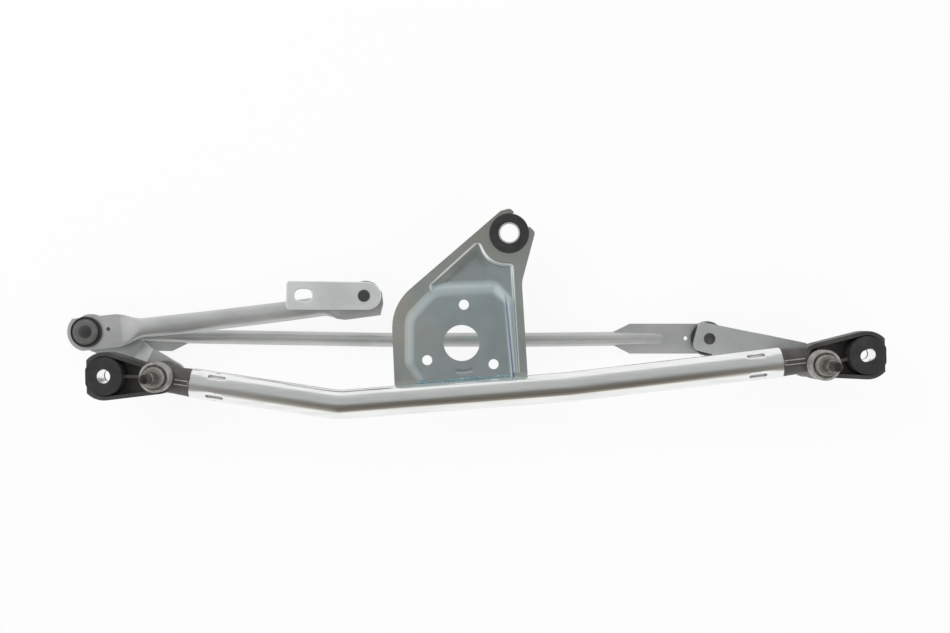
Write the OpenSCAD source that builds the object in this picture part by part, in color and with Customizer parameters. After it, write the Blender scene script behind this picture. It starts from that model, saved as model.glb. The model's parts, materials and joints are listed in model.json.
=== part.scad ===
// Tandem windscreen wiper linkage. A bent cross tube carries the pressed motor plate and two
// die-cast spindle housings. The motor crank pulls the drive rod, the drive rod swings the left
// spindle's lever, and the connecting rod passes the swing on to the right spindle's lever.
// The origin is the motor shaft, in the plane of the tube's axis. Z runs along the spindles,
// from the levers towards the wiper arms, and X runs from the left to the right spindle.

/* [Layout] */
// Distance between the two spindles
spindle_pitch = 546; // [530:1:560]
// Distance from the motor shaft to the left spindle, along X
left_spindle_x = 250; // [244:1:256]
// How far the spindles lie below the motor shaft
spindle_drop = 23; // [20:1:26]
// Length of both spindle levers, from spindle axis to ball
lever_len = 83; // [80:1:86]
// Direction of the left lever, in degrees from +X
left_lever_angle = 153; // [151:0.5:155]
// Direction of the right lever, in degrees from +X
right_lever_angle = 164.8; // [163:0.2:166]
// Length of the drive rod between its balls
drive_rod_len = 242.5; // [238:0.5:247]
// Direction of the drive rod, in degrees from +X
drive_rod_angle = 6.3; // [5:0.1:8]
// Length of the motor crank, from shaft hole to ball
crank_len = 51.3; // [48:0.1:55]
// Direction of the crank from its ball to its shaft hole, in degrees from +X
crank_angle = 178.5; // [170:0.5:190]

/* [Cross tube] */
// Outside diameter of the tube
tube_d = 25; // [24:0.5:26]
// Wall of the tube
tube_wall = 1.5; // [1.2:0.1:2]
// Distance from the motor shaft to the axis of the tube's middle run
tube_offset = 43.3; // [42:0.1:46]
// Slope of the tube's middle run
tube_tilt = 3.4; // [2:0.1:5]
// Where the left bend lies along X
left_bend_x = -103; // [-110:1:-90]
// Where the right bend lies along X
right_bend_x = 88; // [80:1:100]
// Radius of the bends at the tube's axis
bend_r = 70; // [50:1:90]
// Gap between the left spindle and the end of the tube
left_end_gap = 26; // [24:0.5:28]
// Gap between the right spindle and the end of the tube
right_end_gap = 31.5; // [29:0.5:34]
// How far the tube's left end aims below the left spindle
left_aim_drop = 2; // [0:0.5:4]
// How far the tube's right end aims above the right spindle
right_aim_rise = 5; // [2:0.5:6]
// Length of a crimp slot that holds the tube on its spigot
crimp_slot_len = 15; // [12:0.5:18]
// Width of a crimp slot
crimp_slot_w = 4; // [3:0.5:5]
// Depth of the dimple pressed around a crimp slot
crimp_dimple = 1.1; // [0.8:0.1:1.3]
// Distance of the crimps from the end of the tube
crimp_inset = 21; // [18:0.5:24]

/* [Motor plate] */
// Thickness of the plate's sheet
sheet_t = 2.5; // [2:0.1:3]
// Level of the rim's front face
rim_z = -2; // [-3:0.5:0]
// Depth of the pressed pocket below the rim
pocket_depth = 3; // [2:0.5:4]
// Height of the motor pad above the pocket's floor
pad_rise = 5; // [4:0.5:6]
// Run of the pocket's sloping wall
wall_run = 3.4; // [3:0.1:4]
// Run of the motor pad's wall between the rim's level and its face, at its left
pad_slope = 5.4; // [5:0.2:6]
// Diameter of the hole for the motor's shaft boss
motor_hole_d = 30; // [28:0.5:32]
// Bolt circle of the motor's screws
motor_pcd = 64; // [62:0.5:66]
// Diameter of a motor screw hole
motor_bolt_d = 8.4; // [7:0.1:9]
// Direction of the first motor screw hole
motor_bolt_angle = 85.5; // [80:0.5:95]

/* [Mountings] */
// Diameter of the waist of a mounting grommet
grommet_waist_d = 25; // [24:0.5:26]
// Diameter of a grommet's lips
grommet_lip_d = 31.5; // [30:0.5:33]
// Diameter of the plate grommet's lips
plate_grommet_lip_d = 33; // [31:0.5:35]
// Thickness of a grommet's lip
grommet_lip_t = 3; // [2:0.5:4]
// Bore of the sleeve in the left grommet
left_sleeve_bore = 11.6; // [10:0.1:12.5]
// Bore of the sleeve in the plate's grommet
plate_sleeve_bore = 15; // [13:0.5:16]
// Width of the slot in the right sleeve
right_slot_w = 9.6; // [8:0.1:10.5]
// Length of the slot in the right sleeve
right_slot_len = 13.4; // [12:0.1:15]
// Slope of the slot in the right sleeve
right_slot_angle = 19; // [10:1:25]
// Wall of the steel sleeves
sleeve_wall = 1.4; // [1:0.1:1.8]

/* [Spindle housings] */
// Outside diameter of the bearing barrel
barrel_d = 25; // [24:0.5:27]
// Level of the barrel's front rim
barrel_top = 22; // [20:0.5:24]
// Depth of the barrel behind the tube's axis
barrel_back = 31; // [30:0.5:33]
// Diameter of the slimmer boss at the barrel's back
boss_d = 18; // [17.5:0.5:22]
// Diameter of the nose that stands out of the barrel
nose_d = 17; // [16.5:0.1:18]
// How far the nose stands out of the barrel
nose_len = 6; // [4:0.5:8]
// Width of the ring groove round the nose
nose_groove = 2; // [1.5:0.1:2.5]
// Thickness of the mounting ear
ear_h = 16; // [14:0.5:18]
// Radius of the ear's eye
eye_r = 20; // [19:0.5:22]
// Distance from the eye's centre to its flat outer end
eye_flat = 14.6; // [14:0.1:16]
// Wall of the ear's ribs
ear_wall = 3.4; // [3:0.1:4]
// Eye of the left ear, from the left spindle towards the outside
left_eye_out = 45.5; // [43:0.5:48]
// Eye of the left ear, above the left spindle
left_eye_up = 1; // [-2:0.5:4]
// Eye of the right ear, from the right spindle towards the outside
right_eye_out = 39; // [37:0.5:42]
// Eye of the right ear, above the right spindle
right_eye_up = 7; // [5:0.5:9]
// Radius of the left ear's root at the barrel
left_root_r = 10.4; // [9:0.2:12]
// How far the left ear's root lies above the spindle
left_root_up = -4; // [-5:0.5:0]
// Radius of the right ear's root at the barrel
right_root_r = 14.2; // [12:0.2:15]
// How far the right ear's root lies above the spindle
right_root_up = 3.8; // [0:0.2:5]
// Length of the spigot inside the tube
spigot_len = 34; // [32:0.5:40]

/* [Spindles] */
// Diameter of the spindle shaft
shaft_d = 11; // [10.5:0.1:12]
// Wall of a bearing bush
bush_wall = 1.5; // [1.3:0.1:1.7]
// Length of a bearing bush
bush_len = 16; // [12:0.5:20]
// Length of the tapered seat for the wiper arm
seat_len = 9.5; // [8:0.5:12]
// Diameter at the small end of the tapered seat
seat_small_d = 9.6; // [9:0.1:10.2]
// Diameter of the threaded end
thread_d = 8; // [6:1:8]
// Length of the threaded end
thread_len = 10; // [8:0.5:14]
// Thickness of the thrust washer under the barrel
washer_t = 2; // [1.5:0.1:2.5]
// Thickness of the push-on retaining washer
retainer_t = 1.2; // [1:0.1:1.5]

/* [Levers and crank] */
// Thickness of the levers and of the crank
lever_t = 4; // [3.5:0.1:4.5]
// Step of the levers between spindle and ball
lever_step = 8; // [7:0.5:9]
// Radius of the left lever round its spindle
left_lever_hub_r = 10; // [10:0.5:12]
// Radius of the right lever round its spindle
right_lever_hub_r = 12.5; // [12:0.5:14]
// Radius of the left lever round its ball
left_lever_end_r = 15.5; // [14:0.5:16]
// Half width of the right lever at its ball
right_lever_half_w = 12.6; // [12:0.2:14]
// How wide the right lever is above its spindle
right_lever_shoulder = 17; // [14:0.5:18]
// Where the left lever's step ends, from its spindle
left_step_end = 37; // [34:1:40]
// Length of the left lever's step
left_step_len = 12.8; // [12:0.2:15]
// Where the right lever's step ends, from its spindle
right_step_end = 55; // [48:1:58]
// Length of the right lever's step
right_step_len = 18; // [14:0.5:22]
// Step of the crank between shaft and ball
crank_step = 4; // [3:0.5:4.5]
// Half width of the crank at its shaft hole
crank_half_w = 12.2; // [11:0.1:13]
// Radius of the crank round its ball
crank_end_r = 11.8; // [11:0.1:13]
// Width of the crank's shaft hole over its round sides
crank_hole_d = 15.2; // [13:0.1:16]
// Width of the crank's shaft hole over its flats
crank_hole_flats = 10.6; // [9:0.1:11]

/* [Ball joints] */
// Diameter of the balls
ball_d = 10; // [9:0.5:11]
// Distance from a lever's face to the centre of its ball
ball_reach = 8; // [7.5:0.1:8.5]
// Diameter of the neck between ball and lever
ball_neck_d = 7; // [6:0.5:7.5]
// Diameter of the riveted shank
ball_shank_d = 9; // [8:0.5:10]
// Diameter of the riveted head
ball_head_d = 10.4; // [10:0.1:12]
// Diameter of a socket's body
socket_d = 20; // [19:0.5:21]
// Diameter of a socket's cap
socket_cap_d = 26.6; // [25:0.2:28]
// Depth of a socket behind the ball's centre
socket_back = 6.5; // [6:0.1:7]
// Diameter of the wide dust seal at the right lever
wide_seal_d = 29; // [28:0.5:32]
// Diameter of the other dust seals
seal_d = 22; // [20:0.5:23]
// Play of the right ball in its socket, which takes up the linkage's uneven swing
open_play = 5.8; // [5.6:0.1:6.2]

/* [Rods] */
// Width of the drive rod's hollow run
drive_w = 17; // [16:0.5:18]
// Height of the drive rod's hollow run
drive_h = 12; // [11:0.5:12.5]
// Width of the drive rod's flat ends
drive_flat_w = 28.6; // [27:0.2:30]
// Length of the drive rod's flat ends, from the ball
drive_flat_len = 31; // [28:0.5:36]
// Length over which the drive rod turns from flat to round
drive_blend_len = 18; // [14:0.5:24]
// Radius of the drive rod's left tip round its ball
drive_tip_r = 16.8; // [16:0.1:18]
// How far the left flat end hangs to one side of its ball
drive_shift = 1.3; // [0.5:0.1:1.5]
// Length of the drive rod's right flat end, from the ball
drive_far_len = 24; // [22:0.5:28]
// Length over which the drive rod's right end turns from flat to round
drive_far_blend = 14; // [10:0.5:20]
// How far the drive rod's right end reaches beyond its ball
drive_far_tip = 14.6; // [14:0.1:16]
// Diameter of the connecting rod's hollow run
connect_d = 12.4; // [11.5:0.1:13]
// Width of the connecting rod's flat ends
connect_flat_w = 26.4; // [25:0.2:28]
// Length of the connecting rod's flat ends, from the ball
connect_flat_len = 68; // [60:1:70]
// Length over which the connecting rod turns from flat to round
connect_blend_len = 16; // [12:1:22]
// Where the connecting rod's ridge ends, from the ball
ridge_end = 36.5; // [34:0.5:40]
// How far the connecting rod's left flat end hangs to one side of its ball
connect_shift = 2.8; // [1:0.1:3]
// Thickness of the flat ends
flat_t = 3; // [2.6:0.1:3.2]
// Diameter of the small gauge hole in a flat end
gauge_hole_d = 3.6; // [3:0.1:5]

/* [Clearances] */
// Gap between pieces that are pressed, crimped or riveted together
press_gap = 0.02; // [0.01:0.01:0.05]
// Running gap of the spindles in their bushes
running_gap = 0.03; // [0.02:0.01:0.08]
// Gap round a ball in its socket
ball_gap = 0.15; // [0.1:0.05:0.3]
// Gap between flat faces that slide on each other
slide_gap = 0.1; // [0.05:0.05:0.2]
// Gap round soft rubber pieces
rubber_gap = 0.15; // [0.1:0.05:0.3]

/* [Hidden] */
$fn = 64;
cut = 0.5;

// Plan positions
left_axis = [-left_spindle_x, -spindle_drop];
right_axis = left_axis + [spindle_pitch, 0];
left_pin = left_axis + lever_len * unit(left_lever_angle);
right_pin = right_axis + lever_len * unit(right_lever_angle);
crank_pin = left_pin + drive_rod_len * unit(drive_rod_angle);
rod_vector = right_pin - left_pin;
rod_len = norm(rod_vector);
rod_angle = atan2(rod_vector.y, rod_vector.x);
left_eye = left_axis + [-left_eye_out, left_eye_up];
right_eye = right_axis + [right_eye_out, right_eye_up];

// Levels, from the front to the back
tube_r = tube_d / 2;
nose_top = barrel_top + nose_len;
hub_front = -barrel_back - washer_t;
hub_back = hub_front - lever_t;
pin_front = hub_front - lever_step;
pin_back = pin_front - lever_t;
front_ball_z = pin_front + ball_reach;
back_ball_z = pin_back - ball_reach;
crank_pin_back = front_ball_z + ball_reach;
crank_hub_back = crank_pin_back + crank_step;
pocket_z = rim_z - pocket_depth;
pad_z = pocket_z + pad_rise;

// Course of the tube
function mid_y(x) = -tube_offset / cos(tube_tilt) + x * tan(tube_tilt);
tube_path = [
    left_axis - [0, left_aim_drop],
    [left_bend_x, mid_y(left_bend_x)],
    [right_bend_x, mid_y(right_bend_x)],
    right_axis + [0, right_aim_rise]
];
left_run = heading(tube_path[0], tube_path[1]);
right_run = heading(tube_path[3], tube_path[2]);

// Bearings
shaft_r = shaft_d / 2;
bush_r = shaft_r + running_gap + bush_wall;
bore_r = bush_r + press_gap;
ball_r = ball_d / 2;
eye_waist_r = grommet_waist_d / 2;
fork_w = grommet_waist_d * 0.7;
socket_mouth = 3;
mouth_r = ball_r - 0.7;
seal_t = ball_reach - socket_mouth - 2 * rubber_gap;

// Outlines of the motor plate, as corners [x, y, rounding], counter-clockwise
grommet_at = [41.4, 90.9];
fork_angle = 47;
saddle_reach = 54;
plate_corners = [
    foot(-56.4, tube_r * 0.7, 2), foot(55, tube_r * 0.7, 2), [51.3, 50, 25],
    [63.2, 91.5, 4], [42.5, 111.8, 4], [34.6, 109.8, 6], [-58.3, 32.6, 43]
];
// The pocket lies at the right and at the top, and runs out under the motor pad
pocket_corners = [
    foot(-14, tube_r - 4, 3), foot(47.6, tube_r - 4, 3), [43.8, 65.4, 3],
    [25.2, 65.4, 21], [15.7, 85.7, 3.5], [-26, 49.3, 3]
];
// The motor pad in three levels: in the pocket, at the rim's level and on its face
pad_low = [
    foot(-31, tube_r - 4, 3), foot(44.5, tube_r - 4, 3), [40.4, 35, 9],
    [29.5, 50.5, 9], [-22, 48.8, 22], [-42.5, 24, 18], [-43, -16, 10]
];
pad_mid = [
    foot(-33, tube_r - 4, 3), foot(43.2, tube_r - 4, 3), [38.6, 34.5, 8],
    [27.5, 46.6, 8], [-24, 45.2, 22], [-46, 23.2, 19], [-46.8, -17, 10]
];
pad_face = [
    foot(-28, tube_r - 4, 3), foot(41.5, tube_r - 4, 3), [36.8, 33.5, 6],
    [26, 43, 6], [-21, 41.2, 18], [pad_slope - 46, 20.6, 15], [pad_slope - 46.8, -15, 8]
];

// A corner at x that stands by rise above the tube's axis
function foot(x, rise, rounding) = [x, mid_y(x) + rise / cos(tube_tilt), rounding];
function unit(angle) = [cos(angle), sin(angle)];
function heading(from, to) = atan2(to.y - from.y, to.x - from.x);
function flat(p) = [p.x, p.y];
// Points round an oval of the given size, which is an ellipse at squareness 2 and nearly a rectangle at 6
function ring_points(width, height, squareness, count) =
    [for (i = [0 : count - 1])
        let (c = cos(360 * i / count), s = sin(360 * i / count), p = 2 / squareness)
        [width / 2 * sign(c) * pow(abs(c), p), height / 2 * sign(s) * pow(abs(s), p)]];

// Points that round the corner b between its neighbours a and c
function corner_arc(a, b, c, r, steps) =
    let (u = (a - b) / norm(a - b), w = (c - b) / norm(c - b), half = acos(u * w) / 2,
         centre = b + (u + w) / norm(u + w) * r / sin(half),
         start = heading(centre, b + u * r / tan(half)),
         turn = sign(cross(b - a, c - b)) * (180 - 2 * half))
    [for (i = [0 : steps]) centre + r * unit(start + turn * i / steps)];
function rounded(corners, steps = 8) =
    let (n = len(corners))
    [for (i = [0 : n - 1]) each corner_arc(
        flat(corners[(i + n - 1) % n]), flat(corners[i]), flat(corners[(i + 1) % n]), corners[i][2], steps)];
// The same corners with every edge moved inwards by d
function inset(corners, d) =
    let (n = len(corners))
    [for (i = [0 : n - 1])
        let (b = flat(corners[i]),
             e = unit(heading(corners[(i + n - 1) % n], b)), f = unit(heading(b, corners[(i + 1) % n])),
             p = [-e.y, e.x], q = [-f.y, f.x], moved = b + d * (p + q) / (1 + p * q),
             r = corners[i][2] - sign(cross(e, f)) * d)
        [moved.x, moved.y, max(r, 0.4)]];

// Solid between two outlines of as many points, the first at z0 and the second at z1
module loft(lower, z0, upper, z1) {
    n = len(lower);
    points = concat([for (p = lower) [p.x, p.y, z0]], [for (p = upper) [p.x, p.y, z1]]);
    sides = [for (i = [0 : n - 1]) [i, n + i, n + (i + 1) % n, (i + 1) % n]];
    polyhedron(points, concat([[for (i = [0 : n - 1]) i]], [[for (i = [n - 1 : -1 : 0]) n + i]], sides));
}

// Solid along X through oval sections [x, width, height, squareness, side offset]
module oval_run(sections, count = 48) {
    points = [for (s = sections) for (p = ring_points(s[1], s[2], s[3], count)) [s[0], p.x + s[4], p.y]];
    last = (len(sections) - 1) * count;
    sides = [for (k = [0 : len(sections) - 2]) for (i = [0 : count - 1])
        let (a = k * count + i, b = k * count + (i + 1) % count) [a, a + count, b + count, b]];
    polyhedron(points, concat([[for (i = [0 : count - 1]) i]],
        [[for (i = [count - 1 : -1 : 0]) last + i]], sides));
}

module at(place, z = 0, angle = 0) translate([place.x, place.y, z]) rotate(angle) children();

module disc(r, z0, z1, r_top = undef)
    translate([0, 0, z0]) cylinder(r1 = r, r2 = is_undef(r_top) ? r : r_top, h = z1 - z0);

module tube_ring(r_out, r_in, z0, z1) {
    difference() {
        disc(r_out, z0, z1);
        disc(r_in, z0 - cut, z1 + cut);
    }
}

// Four-sided piece between the outer tangents of two circles
module belt(a, r_a, b, r_b) {
    way = heading(a, b);
    lean = acos((r_a - r_b) / norm(b - a));
    polygon([a + r_a * unit(way + lean), a + r_a * unit(way - lean),
        b + r_b * unit(way - lean), b + r_b * unit(way + lean)]);
}

// Plan of a bar with two round ends
module bar_plan(a, r_a, b, r_b) {
    belt(a, r_a, b, r_b);
    translate(a) circle(r_a);
    translate(b) circle(r_b);
}

// Plan of a slot of the given overall length, along X
module slot_plan(length, width) {
    square([length - width, width], center = true);
    for (side = [-1, 1]) translate([side * (length - width) / 2, 0]) circle(width / 2);
}

// Bar along X that steps by rise between step_from and step_to, from x0 to x1
module stepped_sheet(x0, step_from, step_to, x1, rise, half_w) {
    lean = (step_to - step_from) / norm([step_to - step_from, rise]);
    mitre = lever_t * (1 - lean) / max(0.01, abs(rise) / norm([step_to - step_from, rise]));
    shift = sign(rise) * mitre;
    rotate([90, 0, 0])
        linear_extrude(2 * half_w, center = true)
            polygon([[x0, 0], [step_from, 0], [step_to, rise], [x1, rise],
                [x1, rise + lever_t], [step_to - shift, rise + lever_t], [step_from - shift, lever_t],
                [x0, lever_t]]);
}

// Points along the tube's axis, with its bends as short chords
function course() =
    let (path = tube_path)
    [path[0] + left_end_gap * unit(left_run),
     each corner_arc(path[0], path[1], path[2], bend_r, 5),
     each corner_arc(path[1], path[2], path[3], bend_r, 1),
     path[3] + right_end_gap * unit(right_run)];

// The tube in short straight pieces, mitred where they meet
module tube_course() {
    points = course();
    last = len(points) - 2;
    reach = 2 * tube_d;
    run = [for (i = [0 : last]) heading(points[i], points[i + 1])];
    for (i = [0 : last])
        difference() {
            translate(points[i] - tube_r * unit(run[i])) rotate([0, 90, run[i]])
                tube_ring(tube_r, tube_r - tube_wall, 0, norm(points[i + 1] - points[i]) + tube_d);
            at(points[i], -tube_d, (run[max(i - 1, 0)] + run[i]) / 2)
                translate([-reach, -tube_d]) cube(reach);
            at(points[i + 1], -tube_d, (run[i] + run[min(i + 1, last)]) / 2)
                translate([0, -tube_d]) cube(reach);
        }
}

// Places the crimps of one end of the tube, four round the tube, with Z outwards and X along it
module at_crimps(aim, way, gap) {
    for (around = [45 : 90 : 315])
        at(aim + (gap + crimp_inset) * unit(way), 0, way) rotate([around, 0, 0]) children();
}

module crimp_cut() {
    dimple_r = 60;
    translate([0, 0, tube_r - crimp_dimple + dimple_r])
        rotate([90, 0, 0]) cylinder(r = dimple_r, h = tube_d, center = true, $fn = 96);
    translate([0, 0, tube_r - tube_wall - crimp_dimple])
        linear_extrude(tube_wall + crimp_dimple) slot_plan(crimp_slot_len, crimp_slot_w);
}

module cross_tube() color("#c9cbc8") {
    difference() {
        tube_course();
        at_crimps(tube_path[0], left_run, left_end_gap) crimp_cut();
        at_crimps(tube_path[3], right_run, right_end_gap) crimp_cut();
    }
}

// Turns a plan drawn in [distance above the tube's axis, z] into a bar along the tube's middle run
module along_tube(x0, x1) {
    translate([0, mid_y(0), 0])
        rotate([0, 0, tube_tilt])
            translate([x0, 0, 0]) rotate([90, 0, 90]) linear_extrude(x1 - x0) children();
}

module saddle_plan() {
    wrap = tube_r * 0.25;
    difference() {
        circle(tube_r + sheet_t);
        circle(tube_r + press_gap);
        translate([-2 * tube_d, pad_z]) square(4 * tube_d);
        translate([-wrap - 2 * tube_d, -2 * tube_d]) square([2 * tube_d, 4 * tube_d]);
    }
}

module motor_bolts(r) {
    for (i = [0 : 2])
        at(motor_pcd / 2 * unit(motor_bolt_angle + 120 * i)) disc(r, pocket_z - 2 * sheet_t, pad_z + cut);
}

module motor_plate() color("#8f9a98") {
    far = 2 * sheet_t;
    under = sheet_t / 2;
    difference() {
        union() {
            difference() {
                pressed_sheet();
                loft(rounded(inset(pad_low, under)), pocket_z - sheet_t - cut,
                    rounded(inset(pad_mid, under)), rim_z - sheet_t);
                loft(rounded(inset(pad_mid, under)), rim_z - sheet_t - press_gap,
                    rounded(inset(pad_face, under)), pad_z - sheet_t);
            }
            along_tube(-saddle_reach, saddle_reach) saddle_plan();
        }
        along_tube(-2 * tube_offset, 2 * tube_offset) circle(tube_r + press_gap);
        disc(motor_hole_d / 2, pocket_z - far, pad_z + cut);
        motor_bolts(motor_bolt_d / 2);
        at(grommet_at, rim_z - far) {
            cylinder(r = eye_waist_r + rubber_gap, h = 2 * far);
            rotate(fork_angle) translate([0, -fork_w / 2, 0]) cube([2 * eye_waist_r, fork_w, 2 * far]);
        }
    }
}

// Flat rim with the pocket pressed back from it, and the motor pad pressed forward again
module pressed_sheet() {
    difference() {
        union() {
            translate([0, 0, rim_z - sheet_t]) linear_extrude(sheet_t) polygon(rounded(plate_corners));
            loft(rounded(inset(pocket_corners, wall_run - sheet_t)), pocket_z - sheet_t,
                rounded(inset(pocket_corners, -sheet_t)), rim_z - sheet_t / 2);
        }
        loft(rounded(inset(pocket_corners, wall_run)), pocket_z,
            rounded(inset(pocket_corners, -wall_run * cut / pocket_depth)), rim_z + cut);
    }
    loft(rounded(pad_low), pocket_z - sheet_t / 2, rounded(pad_mid), rim_z);
    loft(rounded(pad_mid), rim_z - press_gap, rounded(pad_face), pad_z);
}

// Weld along the front of the plate's foot: a thin seam with three thick beads, each [middle, length]
weld_seam = [2, 76];
weld_beads = [[-33, 10], [5, 24], [35, 9]];

module weld_run(place, r) {
    along_tube(place[0] - place[1] / 2, place[0] + place[1] / 2)
        difference() {
            translate([tube_r + 0.8, pad_z + 0.3]) circle(r);
            circle(tube_r + press_gap);
            translate([0, pad_z - tube_d]) square(tube_d);
        }
}

module plate_welds() color("#7f95a0") {
    weld_run(weld_seam, 1.5);
    for (bead = weld_beads) weld_run(bead, 2.6);
}

// Rubber grommet with a waist in a fork or hole, its lips on both faces
module grommet_body(lip_r, z0, z1, throat) {
    disc(eye_waist_r, z0 - cut, z1 + cut);
    if (throat > 0) translate([0, -fork_w / 2 + rubber_gap, z0 - cut])
        cube([throat, fork_w - 2 * rubber_gap, z1 - z0 + 2 * cut]);
    disc(lip_r, z1 + rubber_gap, z1 + grommet_lip_t);
    disc(lip_r, z0 - grommet_lip_t, z0 - rubber_gap);
}

module plate_grommet() color("#3a3b3a") {
    difference() {
        at(grommet_at) grommet_body(plate_grommet_lip_d / 2, rim_z - sheet_t, rim_z, 0);
        at(grommet_at) disc(plate_sleeve_bore / 2 + sleeve_wall + press_gap, -tube_d, tube_d);
    }
}

module plate_sleeve() color("#b9bdbb") {
    reach = grommet_lip_t + 0.5;
    at(grommet_at)
        tube_ring(plate_sleeve_bore / 2 + sleeve_wall, plate_sleeve_bore / 2,
            rim_z - sheet_t - reach, rim_z + reach);
}

// Die-cast housing: barrel, boss, nose, neck and spigot towards the tube, and a ribbed ear
module housing(axis, aim, way, gap, eye, out, root, root_r) {
    spigot_r = tube_r - tube_wall - press_gap;
    neck_r = tube_r - 0.6;
    centre_rib = 2.6;
    neck_taper = 1.6;
    neck_rib = 0.9;
    neck_rib_x = barrel_d / 2 + 1;
    groove_depth = 5;
    half = ear_h / 2;
    boss_z = -half - 6;
    difference() {
        union() {
            at(axis) {
                disc(barrel_d / 2, -half - 2, barrel_top);
                disc(boss_d / 2, boss_z, -half - 2, barrel_d / 2);
                disc(boss_d / 2, -barrel_back, boss_z + cut);
                disc(nose_d / 2, 0, nose_top);
            }
            at(aim, 0, way) rotate([0, 90, 0]) {
                cylinder(r1 = neck_r - neck_taper, r2 = neck_r, h = gap - press_gap);
                cylinder(r = spigot_r, h = gap + spigot_len);
            }
            at(aim, neck_r - neck_taper, way) for (side = [-1, 1])
                translate([neck_rib_x, side * 2 * neck_rib - neck_rib / 2, 0])
                    cube([gap - neck_rib_x - 1, neck_rib, neck_taper + 0.2]);
            translate([0, 0, -half]) linear_extrude(ear_h) bar_plan(root, root_r, eye, eye_r);
        }
        translate([0, 0, -half + ear_wall]) linear_extrude(ear_h) difference() {
            bar_plan(root, root_r - ear_wall, eye, eye_r - ear_wall);
            translate(axis) circle(barrel_d / 2);
            translate(eye) circle(eye_waist_r + ear_wall);
            translate(axis) rotate(heading(axis, eye)) translate([0, -centre_rib / 2])
                square([2 * eye_r, centre_rib]);
        }
        at(axis) tube_ring(nose_d / 2 + nose_groove, nose_d / 2, barrel_top - groove_depth, barrel_top + cut);
        at(axis) disc(bore_r, -barrel_back - cut, nose_top + cut);
        at(eye) disc(eye_waist_r + rubber_gap, -half - cut, half + cut);
        at(eye, 0, out) translate([0, -fork_w / 2, -half - cut]) cube([2 * eye_r, fork_w, ear_h + 2 * cut]);
        at(eye, 0, out) translate([eye_flat, -2 * eye_r, -half - cut])
            cube([eye_r, 4 * eye_r, ear_h + 2 * cut]);
        at_crimps(aim, way, gap) translate([0, 0, tube_r - tube_wall - crimp_dimple - 0.4])
            linear_extrude(tube_r) slot_plan(2 * crimp_inset - 2, 2 * crimp_slot_w);
    }
}

module left_housing() color("#4a4b4a")
    housing(left_axis, tube_path[0], left_run, left_end_gap, left_eye, 180,
        left_axis + [0, left_root_up], left_root_r);
module right_housing() color("#4a4b4a")
    housing(right_axis, tube_path[3], right_run, right_end_gap, right_eye, 0,
        right_axis + [0, right_root_up], right_root_r);

module ear_grommet(eye, out) {
    difference() {
        at(eye, 0, out) grommet_body(grommet_lip_d / 2, -ear_h / 2, ear_h / 2, eye_flat);
        at(eye, 0, out) translate([eye_flat, -2 * eye_r, -ear_h]) cube([eye_r, 4 * eye_r, 2 * ear_h]);
        at(eye) children();
    }
}

// The ear sleeves end inside the rubber, whose lips leave the bore open
sleeve_half = ear_h / 2 + 0.5;
lip_clear = 0.1;

module left_grommet() color("#3a3b3a")
    ear_grommet(left_eye, 180) {
        disc(left_sleeve_bore / 2 + sleeve_wall + press_gap,
            -sleeve_half - press_gap, sleeve_half + press_gap);
        disc(left_sleeve_bore / 2 + lip_clear, -2 * ear_h, 2 * ear_h);
    }

module left_sleeve() color("#b9bdbb")
    at(left_eye)
        tube_ring(left_sleeve_bore / 2 + sleeve_wall, left_sleeve_bore / 2, -sleeve_half, sleeve_half);

module right_sleeve_plan(grow)
    rotate(right_slot_angle) slot_plan(right_slot_len + 2 * grow, right_slot_w + 2 * grow);

module right_grommet() color("#3a3b3a")
    ear_grommet(right_eye, 0) {
        translate([0, 0, -sleeve_half - press_gap])
            linear_extrude(2 * sleeve_half + 2 * press_gap) right_sleeve_plan(sleeve_wall + press_gap);
        translate([0, 0, -2 * ear_h]) linear_extrude(4 * ear_h) right_sleeve_plan(lip_clear);
    }

module right_sleeve() color("#b9bdbb")
    at(right_eye, -sleeve_half) linear_extrude(2 * sleeve_half) difference() {
        right_sleeve_plan(sleeve_wall);
        right_sleeve_plan(0);
    }

module bush(axis, z0) at(axis) tube_ring(bush_r, shaft_r + running_gap, z0, z0 + bush_len);
module upper_bush(axis) bush(axis, nose_top - bush_len);
module lower_bush(axis) bush(axis, -barrel_back);

module left_upper_bush() color("#9b7b4a") upper_bush(left_axis);
module left_lower_bush() color("#9b7b4a") lower_bush(left_axis);
module right_upper_bush() color("#9b7b4a") upper_bush(right_axis);
module right_lower_bush() color("#9b7b4a") lower_bush(right_axis);

// Spindle, turned: riveted tail, shaft, ring groove, tapered seat and threaded end
groove_z = nose_top + slide_gap;
groove_r = shaft_r - 0.7;
seat_z = groove_z + retainer_t + 2;
tail_r = shaft_r - 0.8;
tail_head = 1.6;

module spindle(axis) {
    chamfer = 0.8;
    top = seat_z + seat_len;
    tip = top + thread_len;
    at(axis) rotate_extrude() polygon([
        [0, hub_back - tail_head], [tail_r + 0.8, hub_back - tail_head], [tail_r + 2, hub_back - press_gap],
        [tail_r, hub_back - press_gap], [tail_r, hub_front], [shaft_r, hub_front], [shaft_r, groove_z],
        [groove_r, groove_z], [groove_r, groove_z + retainer_t], [shaft_r, groove_z + retainer_t],
        [shaft_r, seat_z], [seat_small_d / 2, top], [thread_d / 2, top],
        [thread_d / 2, tip - chamfer], [thread_d / 2 - chamfer, tip], [0, tip]
    ]);
}

module left_spindle() color("#8d8b86") spindle(left_axis);
module right_spindle() color("#8d8b86") spindle(right_axis);

// Washer pressed into the spindle's groove, which covers the nose and holds the spindle
module retainer(axis)
    at(axis) tube_ring(nose_d / 2 - 0.4, groove_r + press_gap,
        groove_z + press_gap, groove_z + retainer_t - press_gap);

module left_retainer() color("#8a837a") retainer(left_axis);
module right_retainer() color("#8a837a") retainer(right_axis);

module thrust_washer(axis)
    at(axis) tube_ring(boss_d / 2 - 0.5, shaft_r + press_gap,
        hub_front + press_gap, -barrel_back - slide_gap);

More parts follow.
